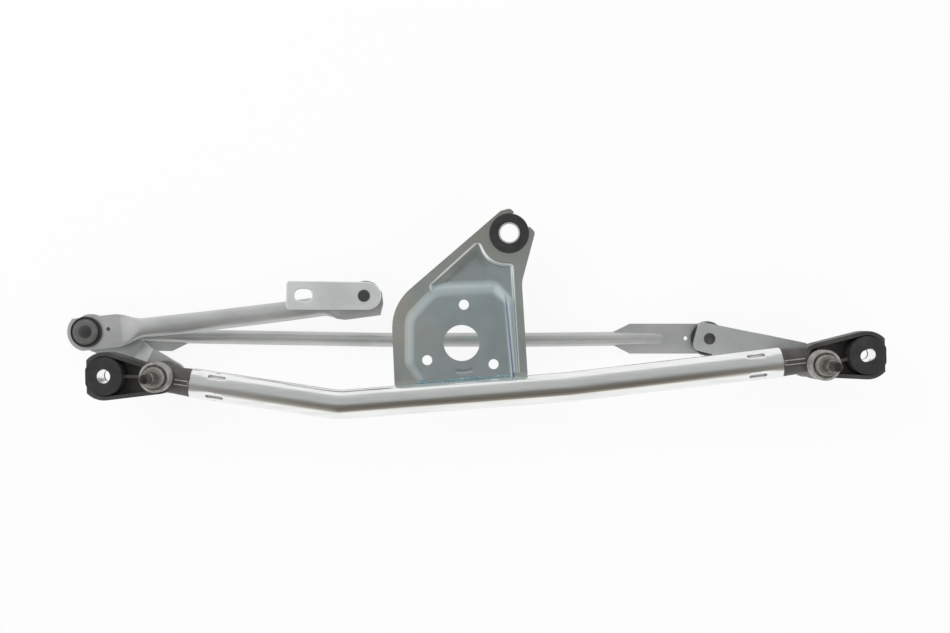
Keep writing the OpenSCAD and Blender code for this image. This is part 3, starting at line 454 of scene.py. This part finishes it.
def spindle_radius(z, r, kind, angle):
    if kind == "knurl":
        wave = abs(((angle * KNURL_TEETH / (2 * math.pi)) % 1) * 2 - 1)
        return r + KNURL_DEPTH * (wave - 0.6)
    if kind == "thread":
        wave = abs((((z - SEAT_HIGH) / THREAD_PITCH - angle / (2 * math.pi)) % 1) * 2 - 1)
        return r - THREAD_DEPTH * (1 - min(1, 1.25 * wave))
    return r


def spindle(side):
    node = side + "_spindle"
    rows = [(z * MM, r * MM, "plain") for z, r in SHAFT_ROWS]
    rows.append((SEAT_LOW, 5.42 * MM, "plain"))
    for k in range(KNURL_STEPS + 1):
        t = k / KNURL_STEPS
        z = SEAT_LOW + 0.2 * MM + t * (SEAT_HIGH - SEAT_LOW - 0.5 * MM)
        rows.append((z, (SEAT_R - SEAT_TAPER * t) * MM, "knurl"))
    rows.append((SEAT_HIGH - 0.1 * MM, 4.55 * MM, "plain"))
    rows.append((SEAT_HIGH + 0.1 * MM, NECK_R * MM, "plain"))
    for k in range(THREAD_STEPS + 1):
        z = SEAT_HIGH + 0.6 * MM + k * (TIP - SEAT_HIGH - 0.8 * MM) / THREAD_STEPS
        taper = min(1.0, (TIP - z) / (1.4 * MM) * 0.25 + 0.75)
        rows.append((z, THREAD_R * MM * taper, "thread"))
    rows.append((TIP, TIP_R * MM, "plain"))
    turned(node + "_turned", node, middle_of(node)[:2], rows, SPINDLE_SIDES, spindle_radius)


for part in ("left", "right"):
    spindle(part)


# Motor plate, pressed from one sheet with soft bends, in mm

TILT = math.radians(3.4)
TUBE_Y = -43.376
SHEET = 2.5
RIM_Z, POCKET_DEPTH, EDGE_STEP, PAD_Z = -2.0, 3.0, 1.0, 0.0
WALL_RUN, RIGHT_RUN, PAD_SLOPE, SOFT_BEND = 3.2, 1.7, 5.4, 1.3
# The pocket's floor eases up to its edge over DISH_RUN, and rises with y from FALL_FROM over FALL_SPAN
DISH_RUN, FALL_FROM, FALL_SPAN = 9, 48, 38
# The pocket's full wall starts and is complete at these x, and narrows to RIGHT_RUN between these y
RIGHT_FROM, RIGHT_FULL, NARROW_FROM, NARROW_FULL = 12, 27, 70, 62
# Slopes of the pad's walls below the rim's level, and of their soft end past the face's edge
PAD_STEEP, PAD_BEYOND = 0.72, 0.5
GROMMET_AT = np.array((41.4, 90.9))
FORK_R, FORK_HALF, FORK_ANGLE, FORK_REACH = 12.65, 8.75, math.radians(47), 30
SHAFT_HOLE_R, BOLT_R, BOLT_CIRCLE_R, FIRST_BOLT = 15.0, 4.2, 32, 85.5
BOLT_TURNS = [math.radians(FIRST_BOLT + 120 * i) for i in range(3)]
BOLTS = [BOLT_CIRCLE_R * np.array((math.cos(a), math.sin(a))) for a in BOLT_TURNS]
ROUND_HOLES = [(np.zeros(2), SHAFT_HOLE_R, 72)] + [(bolt, BOLT_R, 32) for bolt in BOLTS]
# The curved mark below the shaft hole: radius, direction in degrees and depth
MARK_R, MARK_TURN, MARK_DEPTH = 24.0, -86, 0.25
# Points of the sheet: the box that holds them, their finest spacing and how far they keep from its edges
GRID_X, GRID_Y, PITCH, KEEP_OFF = (-62, 68), (-36, 114), 0.75, 0.5


def foot(x, rise, rounding):
    return (x, TUBE_Y + x * math.tan(TILT) + rise / math.cos(TILT), rounding)


def rounded(corners, steps=10):
    """Outline through corners [x, y, rounding]."""
    points = []
    for i, (x, y, r) in enumerate(corners):
        a, b = np.array(corners[i - 1][:2]), np.array((x, y))
        c = np.array(corners[(i + 1) % len(corners)][:2])
        u, w = (a - b) / np.linalg.norm(a - b), (c - b) / np.linalg.norm(c - b)
        half = math.acos(u @ w) / 2
        centre = b + (u + w) / np.linalg.norm(u + w) * r / math.sin(half)
        first = b + u * r / math.tan(half) - centre
        start = math.atan2(first[1], first[0])
        side = (b - a)[0] * (c - b)[1] - (b - a)[1] * (c - b)[0]
        turn = math.copysign(math.pi - 2 * half, side)
        angles = [start + turn * k / steps for k in range(steps + 1)]
        points += [centre + r * np.array((math.cos(angle), math.sin(angle))) for angle in angles]
    return np.array(points)


PLATE = rounded([foot(-56.6, 12.4, 1), foot(54.7, 12.4, 1), (51.3, 50, 25), (63.2, 91.5, 4),
                 (42.5, 111.8, 4), (34.6, 109.8, 6), (-58.3, 32.6, 43)])
POCKET = rounded([foot(-14, 8.5, 3), foot(47.6, 8.5, 3), (43.8, 65.4, 3), (25.2, 65.4, 21),
                  (15.7, 85.7, 3.5), (-26, 49.3, 3)])
PAD_MID = rounded([foot(-33, 8.5, 3), foot(43.2, 8.5, 3), (38.6, 34.5, 8), (27.5, 46.6, 8),
                   (-24, 45.2, 22), (-46, 23.2, 19), (-46.8, -17, 10)])
PAD_FACE = rounded([foot(-28, 8.5, 3), foot(41.5, 8.5, 3), (36.8, 33.5, 6), (26, 43, 6),
                    (-21, 41.2, 18), (PAD_SLOPE - 46, 20.6, 15), (PAD_SLOPE - 46.8, -15, 8)])


def depth_inside(points, loop):
    """Distance of every point to the outline, positive inside it."""
    a, b = loop, np.roll(loop, -1, axis=0)
    edge = b - a
    rel = points[:, None, :] - a[None]
    t = np.clip((rel * edge).sum(2) / np.maximum((edge * edge).sum(1), 1e-12), 0, 1)
    gap = np.sqrt((((rel - t[..., None] * edge) ** 2).sum(2)).min(1))
    y0, y1, y = a[:, 1], b[:, 1], points[:, 1:2]
    crosses = (y0 > y) != (y1 > y)
    with np.errstate(divide="ignore", invalid="ignore"):
        x_at = a[:, 0] + (y - y0) * (b[:, 0] - a[:, 0]) / (y1 - y0)
    inside = (crosses & (points[:, 0:1] < x_at)).sum(1) % 2 == 1
    return np.where(inside, gap, -gap)


def ease(value, low, high):
    u = np.clip((value - low) / (high - low), 0, 1)
    return u * u * (3 - 2 * u)


def higher(a, b, soft):
    """The greater of two heights, with a soft bend of the given height where they cross."""
    near = np.maximum(soft - abs(a - b), 0) / soft
    return np.maximum(a, b) + near * near * soft / 4


def crescent(points):
    """Share of the small curved mark pressed into the pad below the shaft hole."""
    r = np.hypot(points[:, 0], points[:, 1])
    turn = np.degrees(np.arctan2(points[:, 1], points[:, 0])) - MARK_TURN
    return (1 - ease(abs(r - MARK_R), 0.2, 1.5)) * (1 - ease(abs(turn), 14, 19))


def pad_ramp(points):
    """Height of the pad's walls: steep below the rim's level, then easing up to the face and beyond it."""
    to_mid, to_face = depth_inside(points, PAD_MID), depth_inside(points, PAD_FACE)
    share = np.maximum(to_mid, 0) / np.maximum(np.maximum(to_mid, 0) + np.maximum(-to_face, 0), 1e-9)
    wall = PAD_STEEP * np.minimum(to_mid, 0) + (PAD_Z - RIM_Z) * share
    return RIM_Z + wall + PAD_BEYOND * np.maximum(to_face, 0)


def plate_height(points):
    """Front of the sheet: a pocket with a low step at the left and a full wall at the right, and the pad."""
    x, y = points[:, 0], points[:, 1]
    inside = depth_inside(points, POCKET)
    at_right = ease(x, RIGHT_FROM, RIGHT_FULL)
    run = WALL_RUN + (RIGHT_RUN - WALL_RUN) * ease(-y, -NARROW_FROM, -NARROW_FULL)
    fall = (POCKET_DEPTH - EDGE_STEP) * (1 - np.clip((y - FALL_FROM) / FALL_SPAN, 0, 1) ** 2)
    low_step = EDGE_STEP * ease(inside, -0.4, 1.2) + fall * ease(inside, 0, DISH_RUN)
    full_wall = POCKET_DEPTH * ease(inside, -0.5, run)
    sheet = RIM_Z - low_step + at_right * (low_step - full_wall)
    return -higher(-higher(sheet, pad_ramp(points), SOFT_BEND), np.full(len(points), -PAD_Z), SOFT_BEND)


def plate_front(points):
    return plate_height(points) - MARK_DEPTH * crescent(points)


def plate_back(points):
    return plate_height(points) - SHEET


def pressed_and_highlight_marks(points):
    """Red where the sheet is pressed, green for the painted highlight along the pocket's upper edge, fainter
    at its right.
    """
    inside = depth_inside(points, POCKET)
    pressed = np.maximum(ease(inside, -0.5, 1.5), ease(depth_inside(points, PAD_MID), -1, 2))
    shown = np.maximum(ease(points[:, 1], 47, 58), 0.6 * ease(points[:, 0], 36, 42))
    line = (1 - ease(abs(inside - 0.5), 0.4, 1.5)) * shown
    return np.column_stack((pressed, line, np.zeros_like(line), np.ones_like(line)))


def in_fork(points, grow=0.0):
    rel = points - GROMMET_AT
    out = rel[:, 0] * math.cos(FORK_ANGLE) + rel[:, 1] * math.sin(FORK_ANGLE)
    across = rel[:, 1] * math.cos(FORK_ANGLE) - rel[:, 0] * math.sin(FORK_ANGLE)
    return (np.hypot(out, across) < FORK_R + grow) | ((out > 0) & (abs(across) < FORK_HALF + grow))


def in_hole(points, grow=0.0):
    return np.any([np.hypot(*(points - centre).T) < r + grow for centre, r, _ in ROUND_HOLES], axis=0)


def on_plate(points, keep_off=0.0):
    return (depth_inside(points, PLATE) > keep_off) & ~in_fork(points, keep_off) & ~in_hole(points, keep_off)


def dense(loop, pitch, closed=True):
    points = []
    ends = np.roll(loop, -1, axis=0) if closed else loop[1:]
    for a, b in zip(loop, ends):
        steps = max(1, int(math.ceil(np.linalg.norm(b - a) / pitch)))
        points += [a + (b - a) * k / steps for k in range(steps)]
    if not closed:
        points.append(loop[-1])
    return np.array(points)


def plate_loops():
    """Edges of the sheet as [points, closed]: its outline, the fork and the round holes."""
    ways = np.array((math.cos(FORK_ANGLE), math.sin(FORK_ANGLE)))
    normal = np.array((-ways[1], ways[0]))
    opening = math.asin(FORK_HALF / FORK_R)
    turns = np.linspace(FORK_ANGLE + opening, FORK_ANGLE + 2 * math.pi - opening, 61)
    arc = GROMMET_AT + FORK_R * np.stack((np.cos(turns), np.sin(turns)), 1)
    fork = np.concatenate(([GROMMET_AT + FORK_REACH * ways + FORK_HALF * normal], arc,
                           [GROMMET_AT + FORK_REACH * ways - FORK_HALF * normal]))
    loops = [(dense(PLATE, PITCH), True), (dense(fork, 2 * PITCH, False), False)]
    for centre, r, count in ROUND_HOLES:
        a = 2 * math.pi * np.arange(count) / count
        loops.append((centre + r * np.stack((np.cos(a), np.sin(a)), 1), True))
    return loops


def plate_grid():
    """Points inside the sheet: fine on its bends, coarse where it is flat."""
    columns, lines = np.meshgrid(np.arange(*GRID_X, PITCH), np.arange(*GRID_Y, PITCH))
    row, column = np.indices(columns.shape)
    grid = np.stack((columns + (row % 2) * PITCH / 2, lines), 2).reshape(-1, 2)
    coarse = ((row % 6 == 0) & (column % 6 == 0)).ravel()
    medium = ((row % 2 == 0) & (column % 2 == 0)).ravel()
    keep = on_plate(grid, KEEP_OFF)
    grid, coarse, medium = grid[keep], coarse[keep], medium[keep]
    wall = depth_inside(grid, POCKET)
    on_wall = (wall > -1.6) & (wall < WALL_RUN + 1.6)
    on_pad = (depth_inside(grid, PAD_MID) > -6.5) & (depth_inside(grid, PAD_FACE) < 3)
    on_dish = medium & (wall > 0) & (wall < 2 * DISH_RUN)
    return grid[on_wall | on_pad | (crescent(grid) > 0) | on_dish | coarse]


def plate_triangles():
    """The sheet laid flat: its points and its triangles, all facing up."""
    points, edges = list(plate_grid()), []
    for loop, closed in plate_loops():
        first = len(points)
        points += list(loop)
        edges += [(first + i, first + i + 1) for i in range(len(loop) - 1)]
        if closed:
            edges.append((first + len(loop) - 1, first))
    flat, _, triangles = geometry.delaunay_2d_cdt([Vector(q) for q in points], edges, [], 0, 1e-4)[:3]
    flat = np.array([tuple(q) for q in flat])
    triangles = np.array([tuple(t) for t in triangles])
    triangles = triangles[on_plate(flat[triangles].mean(1))]
    used, triangles = np.unique(triangles, return_inverse=True)
    triangles = triangles.reshape(-1, 3)
    flat = flat[used]
    u = flat[triangles[:, 1]] - flat[triangles[:, 0]]
    w = flat[triangles[:, 2]] - flat[triangles[:, 0]]
    turned_over = u[:, 0] * w[:, 1] - u[:, 1] * w[:, 0] < 0
    triangles[turned_over] = triangles[turned_over][:, ::-1]
    return flat, triangles


def open_edges(triangles):
    """Edges that only one triangle has, in its own direction and order."""
    edges = {}
    for t in triangles.tolist():
        for i in range(3):
            edges[t[i], t[(i + 1) % 3]] = True
    return [edge for edge in edges if (edge[1], edge[0]) not in edges]


def motor_plate():
    flat, triangles = plate_triangles()
    n = len(flat)
    front = np.column_stack((flat, plate_front(flat)))
    back = np.column_stack((flat, plate_back(flat)))
    faces = triangles.tolist() + (triangles[:, ::-1] + n).tolist()
    faces += [(a, a + n, b + n, b) for a, b in open_edges(triangles)]
    obj = new_piece("motor_plate_pressed", np.concatenate((front, back)) * MM, faces, "motor_plate")
    obj.data.set_sharp_from_angle(angle=math.radians(50))
    marks = np.tile(pressed_and_highlight_marks(flat), (2, 1))
    obj.data.attributes.new(PRESSED_AND_HIGHLIGHT, "FLOAT_COLOR", "POINT").data.foreach_set("color", marks.ravel())
    round_edges(obj, 0.35, 60)
    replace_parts(obj, "motor_plate")


# The plate's foot and its weld on the tube, in mm

SADDLE_IN, SADDLE_OUT, SADDLE_HALF, SADDLE_EDGE = 12.52, 15.0, 54, 0.4
SADDLE_FROM, SADDLE_TURN, SADDLE_STEPS = -102, 98, 28
WELD_FROM, WELD_STEP, WELD_RINGS, WELD_SIDES = -37, 0.25, 313, 16
WELD_UP, WELD_Z, WELD_R, WELD_SWELL, WELD_END = 12.9, 0.2, 0.9, 0.8, 8
# Middle and half length of each thick bead
WELD_BEADS = ((-33, 5.5), (5, 12.5), (35, 5))


def on_tube(s, v, z):
    """Point at s along the tube's middle run, v above its axis."""
    return (s * math.cos(TILT) - v * math.sin(TILT), TUBE_Y + s * math.sin(TILT) + v * math.cos(TILT), z)


def swept(name, node, rings):
    """Closed piece through rings of as many points."""
    count = len(rings[0])
    verts = [q for ring in rings for q in ring]
    faces = []
    for k in range(len(rings) - 1):
        for i in range(count):
            j = (i + 1) % count
            faces.append((k * count + i, k * count + j, (k + 1) * count + j, (k + 1) * count + i))
    faces += [tuple(range(count)), tuple((len(rings) - 1) * count + i for i in range(count))]
    return new_piece(name, np.array(verts) * MM, faces, node)


def saddle():
    """The plate's foot, bent round the back of the tube, its two ends thinned a little."""
    turns = [math.radians(SADDLE_FROM + SADDLE_TURN * i / SADDLE_STEPS) for i in range(SADDLE_STEPS + 1)]
    outline = [(SADDLE_OUT * math.cos(a), SADDLE_OUT * math.sin(a)) for a in turns]
    outline += [(SADDLE_IN * math.cos(a), SADDLE_IN * math.sin(a)) for a in reversed(turns)]
    inner_half = SADDLE_HALF - SADDLE_EDGE
    places = ((-SADDLE_HALF, SADDLE_EDGE), (-inner_half, 0), (inner_half, 0), (SADDLE_HALF, SADDLE_EDGE))
    rings = []
    for s, squeeze in places:
        ring = []
        for v, z in outline:
            r = math.hypot(v, z)
            outside = r > (SADDLE_IN + SADDLE_OUT) / 2
            keep = (r - squeeze if outside else r + squeeze) / r
            ring.append(on_tube(s, v * keep, z * keep))
        rings.append(ring)
    swept("motor_plate_saddle", "motor_plate", rings).data.set_sharp_from_angle(angle=math.radians(40))


def welds():
    """Rippled bead along the plate's foot, thick where it was laid and thin between."""
    rings = []
    for k in range(WELD_RINGS):
        s = WELD_FROM + k * WELD_STEP
        thick = sum(math.exp(-((s - at) / wide) ** 4) for at, wide in WELD_BEADS)
        ripple = 0.07 * math.sin(2 * math.pi * s / 1.9)
        ripple += 0.15 * math.sin(0.83 * s + 1.3) + 0.08 * math.sin(2.1 * s)
        taper = min(1.0, 0.3 + 0.7 * min(k, WELD_RINGS - 1 - k) / WELD_END)
        r = (WELD_R + WELD_SWELL * min(1.0, thick) + ripple) * taper
        sway = 0.25 * math.sin(0.47 * s) + 0.15 * math.sin(1.7 * s + 0.5)
        ring = []
        for i in range(WELD_SIDES):
            a = 2 * math.pi * i / WELD_SIDES
            out, up = r * math.cos(a), r * math.sin(a)
            ring.append(on_tube(s + 0.35 * out, WELD_UP + sway + up, WELD_Z + 0.75 * out))
        rings.append(ring)
    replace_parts(swept("plate_welds_rippled", "plate_welds", rings), "plate_welds")


motor_plate()
saddle()
welds()


# Ball sockets: a plastic cap with a ring groove and a shallow dome

# Distance from the middle of the rod's flat end, counted away from the cap's face, and radius, from
# the mouth to the middle of the cap
CAP_ROWS = [
    (3.0, 11.0), (2.9, 11.4), (1.52, 11.4), (1.5, 10.0), (-1.5, 10.0), (-1.52, 13.0), (-1.9, 13.3),
    (-3.6, 13.3), (-4.1, 13.0), (-4.1, 12.4), (-3.2, 12.1), (-3.2, 11.7), (-4.4, 11.3), (-5.0, 10.4),
    (-5.3, 8.6), (-5.4, 6.4), (-5.35, 5.6), (-5.6, 5.0), (-6.1, 3.6), (-6.4, 2.0), (-6.5, 0.6),
]
CAP_SIDES, CAP_REACH = 64, 14 * MM


def cap_finish(centre):
    """Black cap whose sloping face between rim and middle is lighter grey."""
    material, tree, shader = begin("socket_cap")
    place = coords(tree)
    grit = noise(tree, place, 140, 4, 0.6)
    black = ramp(tree, grit, tones((0.026, 0.026, 0.026), (0.036, 0.035, 0.034), (0.05, 0.048, 0.046)))
    grey = ramp(tree, grit, tones((0.09, 0.09, 0.088), (0.125, 0.124, 0.12), (0.16, 0.158, 0.155)))
    flat = tree.nodes.new("ShaderNodeVectorMath")
    flat.operation = "MULTIPLY"
    flat.inputs[1].default_value = (1, 1, 0)
    tree.links.new(place, flat.inputs[0])
    reach = tree.nodes.new("ShaderNodeVectorMath")
    reach.operation = "DISTANCE"
    reach.inputs[1].default_value = (*centre, 0)
    tree.links.new(flat.outputs[0], reach.inputs[0])
    none, full = (0, 0, 0), (1, 1, 1)
    # Lighter grey ring on the sloping face between rim and middle
    lighter_part = ramp(tree, span(tree, reach.outputs["Value"], 0, 1, 0, CAP_REACH), [
        (0.0, none), (0.36, none), (0.44, full), (0.72, full), (0.8, none), (1.0, none)])
    tree.links.new(blend_colours(tree, lighter_part, black, grey), shader.inputs["Base Color"])
    tree.links.new(span(tree, noise(tree, place, 500, 3, 0.6), 0.3, 0.42), shader.inputs["Roughness"])
    bump(tree, shader, noise(tree, place, 1300, 4, 0.6), 0.12)
    return material


def ball_socket(part, way):
    """A socket whose cap looks along way, up or down."""
    node = part + "_socket"
    low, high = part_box(node)
    centre = middle_of(node)[:2]
    mouth = CAP_ROWS[0][0] * MM
    level = low[2] + mouth if way > 0 else high[2] - mouth
    rows = [(level - way * z * MM, r * MM, "plain") for z, r in CAP_ROWS]
    cap = turned(node + "_cap", node, centre, rows, CAP_SIDES)
    cap.data.materials[0] = cap_finish(centre)


ball_socket("drive_lever", 1)
ball_socket("drive_crank", -1)
ball_socket("connecting_left", -1)


# Every other piece with its edges rounded, in mm

EDGES = {
    "cross_tube": 0.25, "plate_grommet": 1.0, "plate_sleeve": 0.3, "connecting_right_socket": 0.5,
    "motor_crank": 1.1, "drive_rod": 0.7, "connecting_rod": 0.7,
}
for part in ("left", "right"):
    EDGES.update({
        part + "_housing": 0.7, part + "_grommet": 1.0, part + "_sleeve": 0.3, part + "_upper_bush": 0.25,
        part + "_lower_bush": 0.25, part + "_lever": 1.0, part + "_ball_pin": 0.3, part + "_retainer": 0.25,
        part + "_thrust_washer": 0.3,
    })
for part in ("drive_lever", "drive_crank", "connecting_left", "connecting_right"):
    EDGES[part + "_seal"] = 0.6
# Pieces whose short facets don't narrow the rounding
FULL_EDGES = ("motor_crank",)
# The two corners cut off the drive rod's end: direction in degrees, and distance from the ball
DRIVE_END_CUTS = [(-14.3, 16.6), (37, 13.2)]


def trim(obj, at, cuts):
    """Cuts off what lies beyond planes round a point, each given by its direction and its distance."""
    bm = bmesh.new()
    bm.from_mesh(obj.data)
    for turn, reach in cuts:
        way = Vector((math.cos(math.radians(turn)), math.sin(math.radians(turn)), 0))
        cut = bmesh.ops.bisect_plane(bm, geom=bm.verts[:] + bm.edges[:] + bm.faces[:], dist=1e-6,
                                     plane_co=Vector(at) + way * reach * MM, plane_no=way, clear_outer=True)
        edges = [e for e in cut["geom_cut"] if isinstance(e, bmesh.types.BMEdge) and e.is_boundary]
        bmesh.ops.holes_fill(bm, edges=edges)
    bm.to_mesh(obj.data)
    bm.free()


rounded_pieces = {node: soften(node, EDGES[node], node not in FULL_EDGES) for node in sorted(EDGES)}
trim(rounded_pieces["drive_rod"], middle_of("drive_crank_socket"), DRIVE_END_CUTS)


# Floor

FLOOR_Z = -60.5 * MM
FLOOR_HALF = 4.0
FLOOR_WHITE = 0.88


def any_of(tree, outputs):
    value = outputs[0]
    for other in outputs[1:]:
        value = calc(tree, "MAXIMUM", value, other)
    return value


def floor_finish():
    """White to the camera and to mirrors, with a share that is lit and keeps the shadow."""
    material = bpy.data.materials.new("floor")
    material.use_nodes = True
    tree = material.node_tree
    tree.nodes.clear()
    out = tree.nodes.new("ShaderNodeOutputMaterial")
    matt = tree.nodes.new("ShaderNodeBsdfDiffuse")
    matt.inputs[0].default_value = (0.97, 0.97, 0.97, 1)
    white = tree.nodes.new("ShaderNodeEmission")
    white.inputs[0].default_value = (1, 1, 1, 1)
    white.inputs[1].default_value = 1.0
    path = tree.nodes.new("ShaderNodeLightPath").outputs
    seen = any_of(tree, [path["Is Camera Ray"], path["Is Glossy Ray"], path["Is Transmission Ray"]])
    mix = tree.nodes.new("ShaderNodeMixShader")
    tree.links.new(calc(tree, "MULTIPLY", seen, FLOOR_WHITE), mix.inputs[0])
    tree.links.new(matt.outputs[0], mix.inputs[1])
    tree.links.new(white.outputs[0], mix.inputs[2])
    tree.links.new(mix.outputs[0], out.inputs[0])
    return material


corners = [(x * FLOOR_HALF, y * FLOOR_HALF, FLOOR_Z) for x, y in ((-1, -1), (1, -1), (1, 1), (-1, 1))]
floor_mesh = bpy.data.meshes.new("floor")
floor_mesh.from_pydata(corners, [], [(0, 1, 2, 3)])
floor = bpy.data.objects.new("floor", floor_mesh)
SCENE.collection.objects.link(floor)
floor_mesh.materials.append(floor_finish())


# Light

# What polished metal sees, by the angle from straight up towards +Y: a dim ceiling with the
# photographer's side darkest, a pale panel behind, and white walls all round
ROOM = [
    (-180, (1.0, 1.0, 1.0)), (-80, (1.0, 1.0, 0.99)), (-66, (0.92, 0.91, 0.87)),
    (-56, (0.30, 0.27, 0.23)), (-34, (0.14, 0.125, 0.105)), (-12, (0.19, 0.18, 0.16)),
    (0, (0.33, 0.335, 0.33)), (14, (0.48, 0.49, 0.485)), (45, (0.52, 0.53, 0.525)),
    (68, (0.60, 0.61, 0.60)), (80, (0.98, 0.99, 0.99)), (180, (1.0, 1.0, 1.0)),
]
# Share of the side walls in it, from the left wall to the right one
SIDE_WALLS = [(0.0, 1.0), (0.1, 0.95), (0.22, 0.5), (0.42, 0.0), (0.62, 0.0), (0.8, 0.5), (1.0, 1.0)]
SIDE_TONE, SOFT_TONE, SOFT_STRENGTH = (0.95, 0.96, 0.97), (0.98, 0.99, 1.0), 0.72


def light_room():
    world = bpy.data.worlds.new("studio")
    SCENE.world = world
    world.use_nodes = True
    tree = world.node_tree
    tree.nodes.clear()
    out = tree.nodes.new("ShaderNodeOutputWorld")
    source = tree.nodes.new("ShaderNodeTexCoord")
    x, y, z = axes(tree, source.outputs["Generated"])
    around = span(tree, calc(tree, "ARCTAN2", y, z), 0, 1, -math.pi, math.pi)
    seen = ramp(tree, around, [((angle + 180) / 360, colour) for angle, colour in ROOM])
    sideways = ramp(tree, span(tree, x, 0, 1, -1, 1), [(at, (share,) * 3) for at, share in SIDE_WALLS])
    mirrored = tree.nodes.new("ShaderNodeBackground")
    tree.links.new(blend_colours(tree, sideways, seen, SIDE_TONE), mirrored.inputs[0])
    soft = tree.nodes.new("ShaderNodeBackground")
    soft.inputs[0].default_value = (*SOFT_TONE, 1)
    soft.inputs[1].default_value = SOFT_STRENGTH
    white = tree.nodes.new("ShaderNodeBackground")
    white.inputs[0].default_value = (1, 1, 1, 1)
    path = tree.nodes.new("ShaderNodeLightPath").outputs
    first = tree.nodes.new("ShaderNodeMixShader")
    tree.links.new(path["Is Glossy Ray"], first.inputs[0])
    tree.links.new(soft.outputs[0], first.inputs[1])
    tree.links.new(mirrored.outputs[0], first.inputs[2])
    second = tree.nodes.new("ShaderNodeMixShader")
    tree.links.new(any_of(tree, [path["Is Camera Ray"], path["Is Transmission Ray"]]), second.inputs[0])
    tree.links.new(first.outputs[0], second.inputs[1])
    tree.links.new(white.outputs[0], second.inputs[2])
    tree.links.new(second.outputs[0], out.inputs[0])


def soft_lamp(name, at, size, power):
    """Round lamp that looks at the origin and isn't seen in polished metal."""
    data = bpy.data.lights.new(name, "AREA")
    data.shape = "DISK"
    data.size = size
    data.energy = power
    lamp = bpy.data.objects.new(name, data)
    SCENE.collection.objects.link(lamp)
    lamp.location = at
    lamp.rotation_euler = (-Vector(at)).to_track_quat("-Z", "Y").to_euler()
    lamp.visible_glossy = False


light_room()
soft_lamp("key", (-0.9, 0.75, 1.25), 1.1, 7.0)
soft_lamp("fill", (1.0, -0.7, 1.1), 1.2, 2.5)


# Camera, straight above as in the photo

CAMERA_AT = (11.6 * MM, 21.9 * MM, 870 * MM)
CAMERA_TURN = math.radians(-1.04)
FOCAL_PX, WIDTH_PX, SENSOR = 1044, 950, 36.0
camera_data = bpy.data.cameras.new("camera")
camera_data.sensor_width = SENSOR
camera_data.lens = FOCAL_PX * SENSOR / WIDTH_PX
camera_data.clip_start = 0.01
camera_data.clip_end = 50
camera = bpy.data.objects.new("camera", camera_data)
SCENE.collection.objects.link(camera)
camera.location = CAMERA_AT
camera.rotation_euler = (0, 0, CAMERA_TURN)
SCENE.camera = camera
SCENE.view_settings.view_transform = "Standard"
